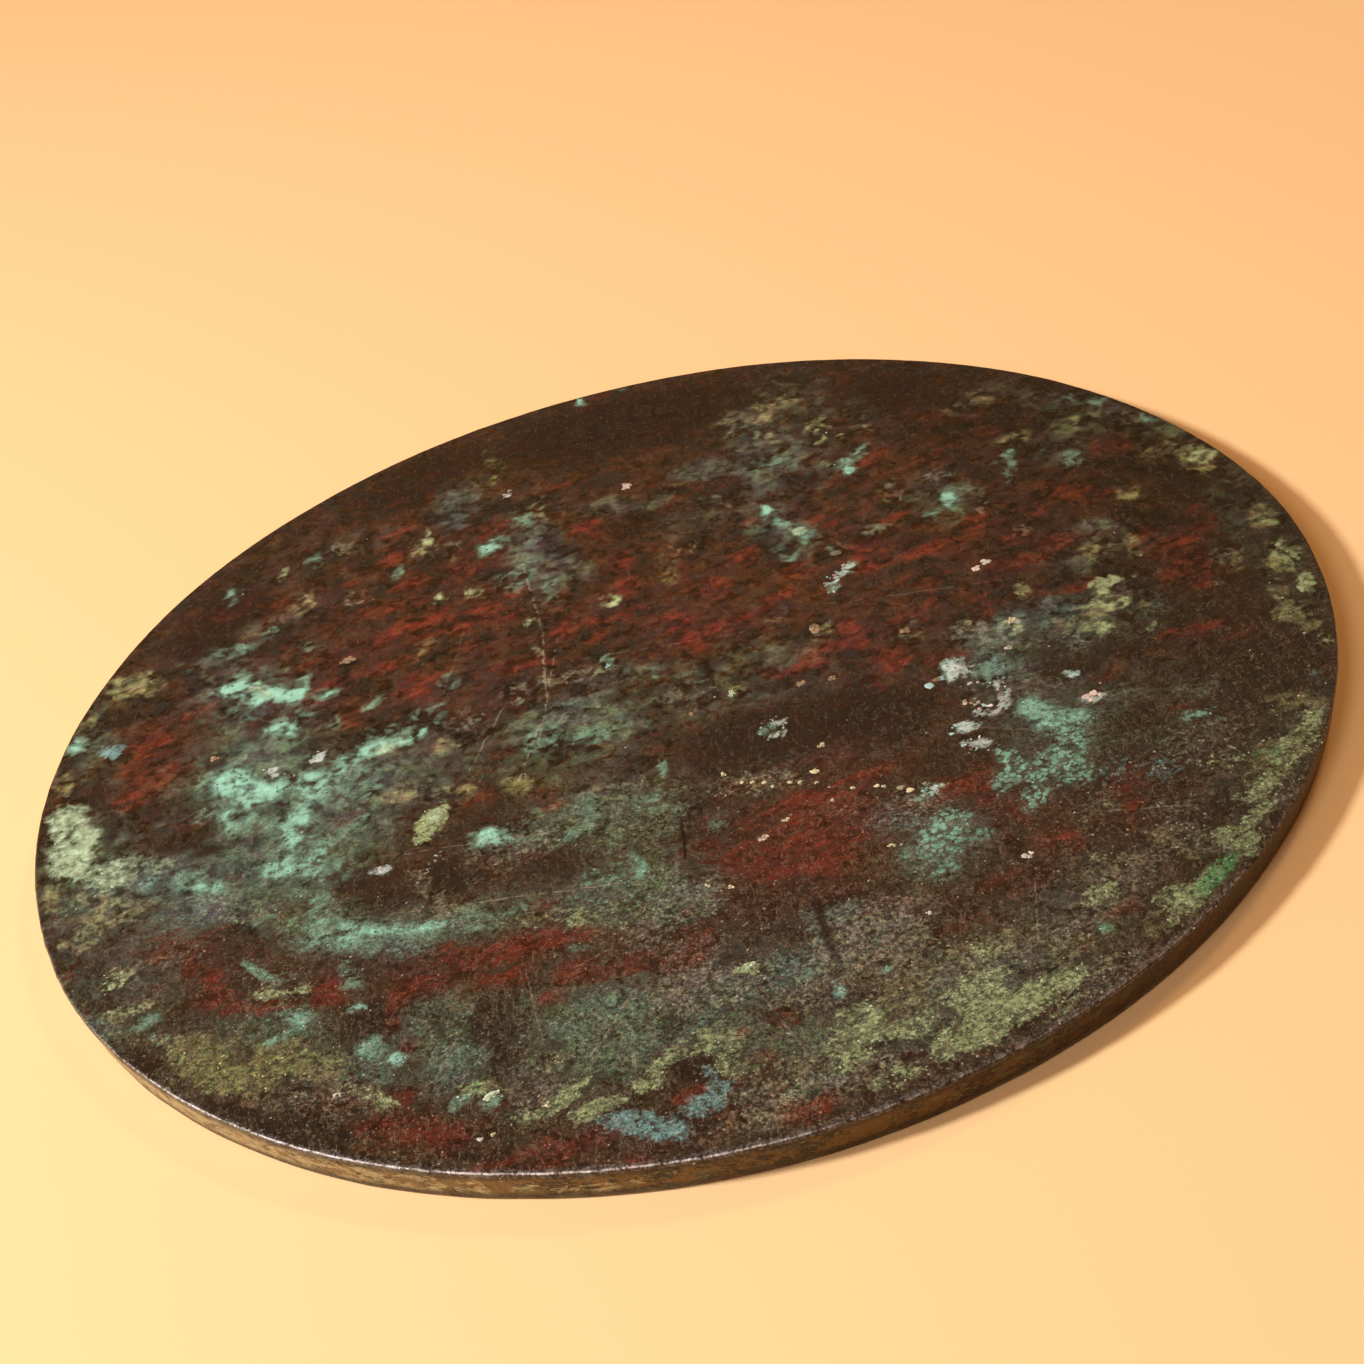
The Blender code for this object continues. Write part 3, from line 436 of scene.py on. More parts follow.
# Thin ridges of pale crust, each as (points, width, tint)
RIDGES = (
    (((38.0, -10.0), (37.2, -12.0), (35.5, -14.0)), 1.9, "blue"),
    (((40.2, -11.2), (40.0, -13.0), (39.6, -14.8)), 1.1, "mint"),
    (((38.0, -19.0), (39.6, -21.2), (41.5, -22.5), (43.0, -21.0), (43.2, -19.0), (42.5, -16.2),
      (41.0, -16.5)), 0.9, "pink"),
    (((34.5, -25.0), (36.2, -24.7), (38.0, -24.0)), 1.5, "blue"),
    (((34.5, -28.0), (36.4, -27.6), (38.0, -28.2), (37.4, -29.6), (36.0, -30.5)), 0.9, "blue"),
    (((-56.5, 6.5), (-55.6, 4.8), (-54.5, 3.5)), 0.9, "white"),
    (((-50.0, 6.0), (-49.2, 6.6), (-48.5, 7.5)), 0.8, "white"),
    (((30.0, 20.3), (28.6, 19.2), (27.5, 18.5), (26.2, 17.0), (26.0, 14.5)), 1.0, "blue"),
    (((10.6, -14.2), (11.2, -12.9), (12.6, -12.5), (13.8, -13.6), (13.7, -15.2), (12.3, -15.9),
      (10.9, -15.2)), 0.7, "mint"),
    (((-37.0, -27.0), (-35.4, -24.6), (-33.0, -22.0)), 1.0, "tan"),
    (((-38.0, -32.0), (-34.8, -35.6), (-31.0, -38.0)), 1.0, "tan"),
)

# Hairline scratches, each as (from x, from y, to x, to y, width, brightness)
SCRATCHES = (
    (-16.2, 46.0, -15.2, 24.0, 0.5, 0.35), (-15.2, 24.0, -16.6, 4.0, 0.45, 0.5),
    (-16.6, 4.0, -22.5, -12.0, 0.4, 0.45), (-26.0, 30.0, -33.0, 6.0, 0.35, 0.16),
    (-13.0, 22.0, -19.0, -6.0, 0.3, 0.35), (-22.0, 8.0, -30.0, -9.0, 0.3, 0.35),
    (-25.4, -48.0, -24.2, -71.0, 0.2, 0.34), (-13.5, -60.0, -19.5, -69.0, 0.4, 0.45),
    (-2.4, -29.0, -3.0, -37.0, 0.5, -0.9), (8.5, -58.0, 12.5, -66.0, 0.22, 0.6),
    (12.5, -66.0, 19.0, -63.0, 0.22, 0.5), (34.8, -69.0, 37.4, -57.0, 0.25, 0.4),
    (-42.0, -20.0, -8.0, -26.0, 0.3, 0.3), (-60.0, -9.0, -34.0, 8.0, 0.3, 0.3),
    (-48.0, -31.0, -8.0, -39.0, 0.35, 0.4), (36.0, -24.0, 52.0, -33.0, 0.3, 0.14),
    (24.0, 12.0, 52.0, 6.0, 0.35, 0.14), (-12.0, 14.0, 20.0, 9.0, 0.35, 0.25),
    (11.2, -50.0, 11.8, -66.0, 1.4, -0.6), (-20.0, -52.0, -3.0, -47.0, 0.25, 0.4),
    (-31.0, -52.0, -38.0, -66.0, 0.25, 0.3), (60.0, -2.0, 84.0, 1.0, 0.4, -0.4),
    (44.0, -47.0, 60.0, -52.0, 0.25, 0.3), (2.0, -66.0, 6.0, -80.0, 0.25, 0.35),
)

TINTS = {
    "white": (222, 214, 204),
    "cream": (203, 196, 160),
    "pink": (206, 186, 172),
    "mint": (186, 208, 176),
    "blue": (160, 196, 196),
    "tan": (160, 134, 104),
}


def paint(red, green, blue):
    """A colour as the eye sees it, 0 to 255, turned into light values."""
    def light(level):
        level /= 255
        return level / 12.92 if level <= 0.04045 else ((level + 0.055) / 1.055) ** 2.4
    return (light(red), light(green), light(blue), 1.0)


# Smooth random fields in space, for wavering patch edges and for relief

LATTICE_SIDE = 64


def lattice(seed):
    """Random values on a grid that repeats every 64 steps."""
    return np.random.RandomState(seed).uniform(-1.0, 1.0, (LATTICE_SIDE,) * 3)


def waver(points, size, seed):
    """Smooth noise of about -1 to 1 at points in millimetres, with features of the given size."""
    grid = lattice(seed)
    scaled = points / size + 1000.0
    cell = np.floor(scaled).astype(int)
    part = scaled - cell
    part = part * part * (3 - 2 * part)
    total = np.zeros(len(points))
    for corner_x in (0, 1):
        weight_x = part[:, 0] if corner_x else 1 - part[:, 0]
        index_x = (cell[:, 0] + corner_x) % LATTICE_SIDE
        for corner_y in (0, 1):
            weight_y = part[:, 1] if corner_y else 1 - part[:, 1]
            index_y = (cell[:, 1] + corner_y) % LATTICE_SIDE
            for corner_z in (0, 1):
                weight_z = part[:, 2] if corner_z else 1 - part[:, 2]
                index_z = (cell[:, 2] + corner_z) % LATTICE_SIDE
                total += grid[index_x, index_y, index_z] * weight_x * weight_y * weight_z
    return total


def fractal(points, size, seed, steps=4):
    """Several sizes of waver added together, each half the size of the one before."""
    total = np.zeros(len(points))
    for step in range(steps):
        total += waver(points, size / 2 ** step, seed + step) / 1.7 ** step
    return total


# The casting's mesh

def circle_row(radius, height, count):
    """A level ring of points, the first at the face grid's first corner."""
    angle = -math.pi / 4 + np.arange(count) * (2 * math.pi / count)
    return np.stack([radius * np.cos(angle), radius * np.sin(angle), np.full(count, height)], axis=1)


def face_grid():
    """The flat face as a square grid bent to a disc, and its outer ring of points in order."""
    side = np.linspace(-1.0, 1.0, FACE_CELLS + 1)
    across, along = np.meshgrid(side, side, indexing="ij")
    wide = np.abs(across) >= np.abs(along)
    safe_across = np.where(across == 0, 1.0, across)
    safe_along = np.where(along == 0, 1.0, along)
    turn = np.where(wide, math.pi / 4 * along / safe_across, math.pi / 2 - math.pi / 4 * across / safe_along)
    reach = np.where(wide, across, along) * (FACE_RADIUS - FACE_ARRIS_ROUND)
    points = np.stack([reach * np.cos(turn), reach * np.sin(turn), np.full_like(reach, RIM_HEIGHT)], axis=2)
    number = np.arange(points.shape[0] * points.shape[1]).reshape(points.shape[:2])
    quads = np.stack([number[:-1, :-1], number[1:, :-1], number[1:, 1:], number[:-1, 1:]], axis=2)
    edge = np.concatenate([number[-1, :-1], number[:0:-1, -1], number[0, :0:-1], number[:-1, 0]])
    return points.reshape(-1, 3), quads.reshape(-1, 4), edge


def wall_profile():
    """Radius and height from the face's arris down to the back's flat band, at full fineness."""
    rows = []
    for step in range(1, ARRIS_STEPS + 1):
        bend = step / ARRIS_STEPS * math.pi / 2
        rows.append((FACE_RADIUS - FACE_ARRIS_ROUND * (1 - math.sin(bend)),
                     RIM_HEIGHT - FACE_ARRIS_ROUND * (1 - math.cos(bend))))
    wall_top = RIM_HEIGHT - FACE_ARRIS_ROUND
    wall_foot = FOOT_ARRIS_ROUND
    for step in range(1, WALL_STEPS + 1):
        share = step / WALL_STEPS
        rows.append((FACE_RADIUS - WALL_LEAN * share, wall_top + (wall_foot - wall_top) * share))
    for step in range(1, FOOT_STEPS + 1):
        bend = step / FOOT_STEPS * math.pi / 2
        rows.append((FOOT_RADIUS - FOOT_ARRIS_ROUND * (1 - math.cos(bend)),
                     FOOT_ARRIS_ROUND * (1 - math.sin(bend))))
    return rows


def back_profile():
    """Radius and height from the back's flat band in to the knob, the centre left out."""
    band_inner = FOOT_RADIUS - RIM_BAND_WIDTH
    field_outer = band_inner - RIM_BAND_SLOPE
    rows = [(FOOT_RADIUS - part, 0.0) for part in BAND_ROWS]
    rows += [(band_inner, 0.0), (band_inner - 0.5 * RIM_BAND_SLOPE, 0.5 * FIELD_LEVEL),
             (field_outer, FIELD_LEVEL)]
    ring_outer = RING_DIAMETER / 2 + RING_WIDTH / 2
    rows += [(field_outer + (ring_outer - field_outer) * step / OUTER_FIELD_STEPS, FIELD_LEVEL)
             for step in range(1, OUTER_FIELD_STEPS + 1)]
    for step in range(1, RING_STEPS + 1):
        share = step / RING_STEPS
        rows.append((ring_outer - RING_WIDTH * share,
                     FIELD_LEVEL - RING_HEIGHT * math.sin(math.pi * share)))
    ring_inner = ring_outer - RING_WIDTH
    knob_radius = KNOB_DIAMETER / 2
    rows += [(ring_inner + (knob_radius - ring_inner) * step / INNER_FIELD_STEPS, FIELD_LEVEL)
             for step in range(1, INNER_FIELD_STEPS + 1)]
    for step in range(1, KNOB_STEPS):
        bend = step / KNOB_STEPS * math.pi / 2
        rows.append((knob_radius * math.cos(bend), FIELD_LEVEL - KNOB_HEIGHT * math.sin(bend)))
    return rows


def casting_mesh():
    """The whole casting as one closed mesh, before relief."""
    points, quads, edge = face_grid()
    blocks = [points]
    faces = [tuple(quad) for quad in quads.tolist()]
    total = len(points)
    outer = edge.tolist()
    counts = [TURN_STEPS] * len(wall_profile())
    back = back_profile()
    back_counts = [TURN_STEPS // (2 if radius > BACK_HALVED_OUTSIDE else 4) for radius, _ in back]
    for (radius, height), count in zip(wall_profile() + back, counts + back_counts):
        blocks.append(circle_row(radius, height, count))
        inner = list(range(total, total + count))
        total += count
        many = len(outer)
        if many == count:
            for step in range(count):
                after = (step + 1) % count
                faces.append((outer[step], inner[step], inner[after], outer[after]))
        else:
            for step in range(count):
                after = (step + 1) % count
                left, middle, right = outer[2 * step], outer[2 * step + 1], outer[(2 * step + 2) % many]
                faces.append((left, inner[step], middle))
                faces.append((middle, inner[step], inner[after]))
                faces.append((middle, inner[after], right))
        outer = inner
    blocks.append(np.array([[0.0, 0.0, FIELD_LEVEL - KNOB_HEIGHT]]))
    for step in range(len(outer)):
        faces.append((outer[step], total, outer[(step + 1) % len(outer)]))
    mesh = bpy.data.meshes.new("mirror_casting")
    mesh.from_pydata((np.concatenate(blocks) * MM).tolist(), [], faces)
    mesh.update()
    return mesh


def new_object(name, mesh):
    piece = bpy.data.objects.new(name, mesh)
    bpy.context.scene.collection.objects.link(piece)
    return piece


def pierce_knob(piece):
    """Cuts the cord hole through the knob on the back."""
    radius = (FIELD_LEVEL - CORD_HOLE_SILL - CORD_HOLE_BRIDGE - (FIELD_LEVEL - KNOB_HEIGHT)) / 2
    height = FIELD_LEVEL - CORD_HOLE_SILL - radius
    bpy.ops.mesh.primitive_cylinder_add(
        vertices=32, radius=radius * MM, depth=(KNOB_DIAMETER + 2 * CORD_HOLE_OVERRUN) * MM,
        location=(0.0, 0.0, height * MM), rotation=(0.0, math.pi / 2, 0.0))
    cutter = bpy.context.object
    cut = piece.modifiers.new("cord hole", "BOOLEAN")
    cut.operation = "DIFFERENCE"
    cut.solver = "EXACT"
    cut.object = cutter
    bpy.context.view_layer.update()
    evaluated = piece.evaluated_get(bpy.context.evaluated_depsgraph_get())
    cut_mesh = bpy.data.meshes.new_from_object(evaluated)
    piece.modifiers.clear()
    piece.data = cut_mesh
    bpy.data.objects.remove(cutter)


def coverage(points, patches, edge_warp):
    """How thickly a kind of patina lies at each point, 0 to about 1."""
    left = np.ones(len(points))
    across = points[:, 0] + edge_warp[0]
    along = points[:, 1] + edge_warp[1]
    for x, y, length, width, turn, strength in patches:
        cos_turn, sin_turn = math.cos(math.radians(turn)), math.sin(math.radians(turn))
        reach = 0.75 * max(length, width) + 2.0
        near = (np.abs(across - x) < reach) & (np.abs(along - y) < reach)
        run, rise = across[near] - x, along[near] - y
        part_long = (run * cos_turn + rise * sin_turn) / (length / 2)
        part_wide = (rise * cos_turn - run * sin_turn) / (width / 2)
        away = np.sqrt(part_long ** 2 + part_wide ** 2)
        fall = np.clip((FADE_END - away) / FADE_WIDTH, 0.0, 1.0)
        left[near] *= 1 - np.clip(strength * fall * fall * (3 - 2 * fall), 0.0, 0.999)
    return 1 - left


PATCH_KINDS = {
    "red": CUPRITE_RED,
    "turquoise": TURQUOISE_CRUST,
    "blue": BLUE_CRUST,
    "malachite": LIGHT_MALACHITE,
    "olive": OLIVE_EARTH,
    "film": GREY_GREEN_FILM,
    "mint": PALE_MINT,
    "lilac": LILAC_CRUST,
    "haze": GRANULAR_HAZE,
    "dark": DARK_METAL,
    "emerald": EMERALD,
    "red_wash": RED_WASH,
    "green_wash": GREEN_WASH,
}


def weather(piece):
    """Gives the casting its patina fields and its relief, both from each point's place."""
    mesh = piece.data
    flat = np.empty(len(mesh.vertices) * 3)
    mesh.vertices.foreach_get("co", flat)
    points = flat.reshape(-1, 3) / MM
    radius = np.hypot(points[:, 0], points[:, 1])
    top = np.clip((points[:, 2] - RIM_HEIGHT + FACE_ARRIS_ROUND + 0.3) / 0.5, 0.0, 1.0)

    warp = (1.0 * waver(points, 4.5, 11) + 0.55 * waver(points, 1.8, 13),
            1.0 * waver(points, 4.5, 21) + 0.55 * waver(points, 1.8, 23))
    fields = {}
    for kind, patches in PATCH_KINDS.items():
        fields[kind] = coverage(points, patches, warp) * top
    crust = np.clip(fields["turquoise"] + fields["blue"] + fields["malachite"] + fields["mint"]
                    + fields["emerald"] + fields["lilac"], 0.0, 1.2)
    lift = CRUST_RISE * crust * (0.7 + 0.5 * waver(points, 1.6, 31))
    lift += 0.05 * fields["olive"] + 0.025 * fields["film"] + 0.03 * fields["haze"]
    lift += 0.05 * waver(points, 34.0, 37) + 0.018 * fractal(points, 5.0, 41, 3)
    pit = np.clip(waver(points, 1.7, 51) - 0.62, 0.0, 1.0) * (0.35 + fields["red"])
    lift -= PIT_DEPTH * pit
    lift *= top
    moved = points.copy()
    moved[:, 2] += lift * np.clip((FACE_RADIUS - radius) / 1.2, 0.25, 1.0)

    # The rim isn't a true circle: it wavers, and its wall and arris are uneven
    angle = np.arctan2(points[:, 1], points[:, 0])
    outer = np.clip((radius - 80.0) / 9.0, 0.0, 1.0)
    sway = sum(reach * np.sin(waves * angle + start) for waves, reach, start in RIM_SWAYS)
    sway += 0.05 * waver(points, 6.0, 61)
    on_wall = np.clip((radius - FOOT_RADIUS + 0.2) / 0.4, 0.0, 1.0)
    sway += on_wall * (0.05 * waver(points, 2.2, 67) + 0.035 * waver(points, 1.0, 71))
    factor = 1 + outer * (sway - 0.12) / np.maximum(radius, 1.0)
    moved[:, 0] *= factor
    moved[:, 1] *= factor
    mesh.vertices.foreach_set("co", (moved * MM).ravel())
    mesh.update()

    # Painted highlight: where the arris catches the lights, strongest on the front left
    lit_side = 0.3 * np.clip((np.cos(angle - math.radians(265.0)) - 0.1) * 2.0, 0.0, 1.0)
    lit_side += 0.7 * np.clip((np.cos(angle - math.radians(240.0)) - 0.82) * 9.0, 0.0, 1.0)
    below_face = RIM_HEIGHT - points[:, 2]
    on_arris = (below_face > ARRIS_HIGHLIGHT_DEPTHS[0]) & (below_face < ARRIS_HIGHLIGHT_DEPTHS[1]) & (radius > FOOT_RADIUS)
    fields["arris"] = on_arris * lit_side
    fields["grit"] = top * (0.55 * fields["turquoise"] ** 1.5 + 0.3 * fields["malachite"]
                            + 0.3 * fields["blue"] + 0.12 * fields["haze"] + 0.1 * fields["olive"]
                            + 0.12 * fields["mint"] + 0.04 * fields["red"]
                            + 0.03 * np.clip(-points[:, 1] / 60.0, 0.0, 1.0))
    fields["grit"] *= np.clip((25.0 - points[:, 1]) / 75.0, 0.08, 1.0)
    fields["wall"] = on_wall * (1 - np.clip((points[:, 2] - RIM_HEIGHT + 0.25) / 0.2, 0.0, 1.0))
    fields["back"] = np.clip((0.9 - points[:, 2]) / 0.5, 0.0, 1.0) + (
        (radius < FOOT_RADIUS - 0.6) & (points[:, 2] < FIELD_LEVEL + 0.1)) * 1.0
    fields["back"] = np.clip(fields["back"], 0.0, 1.0)
    for kind, values in fields.items():
        store = mesh.attributes.new(kind, "FLOAT", "POINT")
        store.data.foreach_set("value", values.astype(np.float32))
    mesh.polygons.foreach_set("use_smooth", np.ones(len(mesh.polygons), dtype=bool))
    mesh.update()


class Term:
    """A socket of a material's tree that can be used in a sum."""

    def __init__(self, finish, socket):
        self.finish = finish
        self.socket = socket

    def _math(self, kind, first, second=None, clamp=False):
        sockets = {0: first} if second is None else {0: first, 1: second}
        return self.finish.node("ShaderNodeMath", {"operation": kind, "use_clamp": clamp}, sockets)

    def __add__(self, other):
        return self._math("ADD", self, other)

    def __radd__(self, other):
        return self._math("ADD", other, self)

    def __sub__(self, other):
        return self._math("SUBTRACT", self, other)

    def __rsub__(self, other):
        return self._math("SUBTRACT", other, self)

    def __mul__(self, other):
        return self._math("MULTIPLY", self, other)

    def __rmul__(self, other):
        return self._math("MULTIPLY", other, self)

    def __truediv__(self, other):
        return self._math("DIVIDE", self, other)

    def __pow__(self, other):
        return self._math("POWER", self, other)

    def clamped(self):
        return self._math("ADD", self, 0.0, clamp=True)

    def maximum(self, other):
        return self._math("MAXIMUM", self, other)

    def step(self, low, high):
        """Rises smoothly from 0 at low to 1 at high."""
        return self.finish.node(
            "ShaderNodeMapRange", {"interpolation_type": "SMOOTHSTEP", "clamp": True},
            {"Value": self, "From Min": low, "From Max": high, "To Min": 0.0, "To Max": 1.0})


class Finish:
    """A material whose nodes are written as sums."""

    def __init__(self, name):
        self.material = bpy.data.materials.new(name)
        self.material.use_nodes = True
        self.tree = self.material.node_tree
        self.tree.nodes.clear()
        self.place = self.node("ShaderNodeTexCoord", output="Object")

    def node(self, kind, settings=None, sockets=None, output=0):
        made = self.tree.nodes.new(kind)
        for name, value in (settings or {}).items():
            setattr(made, name, value)
        for key, value in (sockets or {}).items():
            if isinstance(value, Term):
                self.tree.links.new(value.socket, made.inputs[key])
            else:
                made.inputs[key].default_value = value
        return None if output is None else Term(self, made.outputs[output])

    def field(self, name):
        return self.node("ShaderNodeAttribute", {"attribute_name": name}, output="Fac")

    def mix(self, first, second, share):
        return self.node("ShaderNodeMix", {"data_type": "RGBA"}, {0: share, 6: first, 7: second}, output=2)

    def laid(self, under, dull, bright, tone, cover):
        """A kind of patina over a colour: dull to bright by its tone, as thick as its cover."""
        return self.mix(under, self.mix(paint(*dull), paint(*bright), tone), cover)

    def stretched(self, place, along_x, along_y, along_z=1.0):
        return self.node("ShaderNodeMapping", None, {"Vector": place, "Scale": (along_x, along_y, along_z)})

    def turned(self, degrees):
        return self.node("ShaderNodeMapping", None,
                         {"Vector": self.place, "Rotation": (0.0, 0.0, math.radians(-degrees))})

    def grain(self, size, detail=3.0, rough=0.6, place=None, distortion=0.0):
        """Noise of about -1 to 1 with features of the given size in millimetres."""
        level = self.node("ShaderNodeTexNoise", None,
                          {"Vector": place or self.place, "Scale": 1 / (size * MM), "Detail": detail,
                           "Roughness": rough, "Distortion": distortion}, output="Fac")
        return (level - 0.5) * 8.0

    def shifted(self, distance):
        """The same space moved, for a grain of its own."""
        return self.node("ShaderNodeMapping", None,
                         {"Vector": self.place, "Location": (distance, 0.5 * distance, 0.0)})

    def shaded(self, colour, share):
        return self.node("ShaderNodeVectorMath", {"operation": "SCALE"}, {0: colour, "Scale": share})

    def dots(self, size, uneven):
        """1 in small separate dots, 0 between them."""
        away = self.node("ShaderNodeTexVoronoi", None, {"Vector": self.place, "Scale": 1 / (size * MM)},
                         output="Distance")
        return ((0.6 - away + uneven * 0.14) * 4.0).clamped()

    def varied(self, colour, reach, first, second, third):
        """The colour with its red, green and blue each varied by a grain of its own."""
        level = self.node("ShaderNodeCombineXYZ", None, {0: first, 1: second, 2: third})
        level = self.shaded(level, reach)
        level = self.node("ShaderNodeVectorMath", {"operation": "ADD"}, {0: level, 1: (1.0,) * 3})
        level = self.node("ShaderNodeVectorMath", {"operation": "MAXIMUM"}, {0: level, 1: (0.4,) * 3})
        return self.node("ShaderNodeVectorMath", {"operation": "MULTIPLY"}, {0: colour, 1: level})

    def surface(self, sockets):
        shader = self.node("ShaderNodeBsdfPrincipled", None, sockets, output="BSDF")
        self.node("ShaderNodeOutputMaterial", None, {"Surface": shader}, output=None)


def broken(cover, grain, spread=0.34, soft=0.4):
    """Turns a smooth cover into ragged patches: cover is the share of the surface that is hidden."""
    reach = (cover * 4.0).clamped() * spread if isinstance(cover, Term) else spread
    return ((grain * reach + cover - 0.5) / soft + 0.5).clamped()


def half(grain, gain=0.45):
    """A grain of about -1 to 1 as a share from 0 to 1."""
    return (0.5 + gain * grain).clamped()


def line_mark(x, y, from_x, from_y, to_x, to_y, width):
    """1 along a straight line, falling to 0 at its sides and ends, all in millimetres."""
    run, rise = to_x - from_x, to_y - from_y
    length = math.hypot(run, rise)
    along = ((x - from_x) * (run / length) + (y - from_y) * (rise / length)) / length
    aside = (x - from_x) * (rise / length) - (y - from_y) * (run / length)
    ends = (along * (1.0 - along) * 12.0).clamped()
    return ends * (1.2 - aside * aside * (4.0 / width ** 2)).clamped()


def bronze_finish():
    """The casting's patina: dark metal, red oxide, films of earth, then crusts."""
    finish = Finish("patinated bronze")
    x_mm, y_mm, height = (
        finish.node("ShaderNodeSeparateXYZ", None, {0: finish.place}, output=axis) / MM for axis in range(3))

    # Shares of the way to the front, the rear and the sides. The grain is sharp in front only
    sharp = y_mm.step(35.0, -45.0)
    front = y_mm.step(10.0, -70.0)
    rear = y_mm.step(30.0, 80.0)
    right = x_mm.step(30.0, 85.0)
    left = x_mm.step(20.0, -70.0)
    edge = 0.95 - 0.45 * sharp

    def worn(size, detail, rough, place=None, distortion=0.0):
        """A grain that is full in front and smooth in the rear."""
        smooth = finish.grain(size, 1.0, 0.5, place, distortion)
        return smooth + (finish.grain(size, detail, rough, place, distortion) - smooth) * sharp

    # The grains that every layer is broken up by, from the finest to the broadest
    dust = finish.grain(0.32, 2.0, 0.7, finish.shifted(0.83)) * sharp
    fine = finish.grain(0.5, 2.0, 0.7) * (0.2 + 0.8 * sharp)
    fleck = worn(0.9, 5.0, 0.75, finish.shifted(0.31), 0.5) * (0.5 + 0.5 * sharp)
    small = worn(1.5, 4.0, 0.7, distortion=0.6)
    upright = finish.grain(1.6, 4.0, 0.7, finish.stretched(finish.place, 1.0, 0.3), 0.4)
    streak = worn(2.2, 5.0, 0.7, finish.stretched(finish.turned(18.0), 0.28, 1.0), 0.5)
    blot = worn(2.8, 5.0, 0.72, finish.shifted(0.57), 0.9)
    middle = worn(4.5, 5.0, 0.68, distortion=0.8)
    large = finish.grain(16.0, 5.0, 0.6, distortion=0.6)
    speckle = fine * 0.75 + small * 0.6

    # Bare metal
    dark = finish.mix(paint(32, 23, 15), paint(64, 49, 36), half(middle * 0.7 + small * 0.5))
    dark = finish.mix(dark, paint(46, 33, 19), rear * 0.75)
    dark = finish.mix(dark, paint(94, 82, 66), broken(0.16 + 0.16 * front, speckle, soft=0.8) * 0.55)
    dark = finish.mix(dark, paint(24, 16, 9), broken(0.26, large * 0.6 + small * 0.7, soft=0.8) * 0.5)

    # Thin stains, and painted shade towards the right
    red_wash = broken(finish.field("red_wash") * 0.85 + 0.14, streak * 0.6 + middle * 0.6, soft=0.9)
    colour = finish.laid(dark, (58, 30, 19), (96, 52, 36), half(small * 0.6 + streak * 0.5), red_wash * 0.5)
    green_wash = broken(finish.field("green_wash") * 0.85 + 0.08, middle * 0.7 + small * 0.5, soft=0.8)
    colour = finish.laid(colour, (58, 70, 56), (104, 130, 114), half(small * 0.5 + blot * 0.5),
                         green_wash * 0.7)
    reddish = broken(0.22 + 0.06 * front, fleck * 0.7 + blot * 0.7, soft=0.5)
    colour = finish.mix(colour, paint(106, 48, 34), reddish * 0.4)
    greenish = broken(0.19 + 0.08 * front, fleck * 0.6 - blot * 0.8, soft=0.6)
    colour = finish.mix(colour, paint(106, 110, 84), greenish * 0.42)
    # Painted shade: the face darker towards the right, away from the key light
    colour = finish.mix(colour, paint(30, 24, 15), right * 0.6)
    dulled = broken(finish.field("dark"), middle * 0.5 + small * 0.7, soft=0.7)
    colour = finish.mix(colour, paint(34, 23, 15), dulled * 0.75)

    # Films and earths
    haze = broken(finish.field("haze") * 0.72 + 0.08 * front, small * 0.7 + blot * 0.5 + fine * 0.35,
                  soft=0.5)
    colour = finish.laid(colour, (80, 72, 60), (158, 150, 132), half(fine * 0.8 + small * 0.4), haze * 0.66)
    red = broken(finish.field("red") * 0.78, streak * 0.6 + fleck * 0.5 + blot * 0.5, soft=edge + 0.12)
    colour = finish.laid(colour, (56, 23, 16), (130, 56, 42), half(streak * 0.6 + small * 0.8), red * 0.8)
    ember = broken(finish.field("red") * 0.32, fleck * 0.9 + small * 0.5, soft=0.35)
    colour = finish.mix(colour, paint(156, 56, 40), ember * front * 0.75)
    film = broken(finish.field("film"), fleck * 0.6 + middle * 0.6 + fine * 0.5, soft=edge)
    colour = finish.laid(colour, (58, 78, 64), (124, 152, 134), half(small * 0.6 + blot * 0.4 + fine * 0.4),
                         film * 0.72)
    olive = broken(finish.field("olive") * 0.85, small * 0.5 + middle * 0.8 + fine * 0.2, 0.42, edge - 0.08)
    colour = finish.laid(colour, (66, 67, 38), (150, 152, 110), half(blot * 0.6 + small * 0.5 + fine * 0.15),
                         olive * 0.86)
    colour = finish.varied(colour, 0.16, middle, blot, large)
    colour = finish.varied(colour, 0.04 + 0.06 * sharp, dust, fine, fleck)
    bare = broken(finish.field("dark") * 0.85, small * 0.6 + fleck * 0.6, soft=0.6)
    colour = finish.laid(colour, (24, 18, 13), (54, 42, 32), half(small * 0.7), bare * 0.72)

    # Green crusts
    green = broken(finish.field("malachite") * 0.92, small * 0.4 + blot * 0.8 + fine * 0.3, 0.4, edge - 0.1)
    colour = finish.laid(colour, (92, 106, 60), (172, 188, 142), half(blot * 0.6 + small * 0.4 + fine * 0.35),
                         green * 0.9)
    emerald = broken(finish.field("emerald") * 0.8, small, soft=0.6)
    colour = finish.laid(colour, (40, 92, 46), (98, 168, 110), half(small), emerald * 0.85)

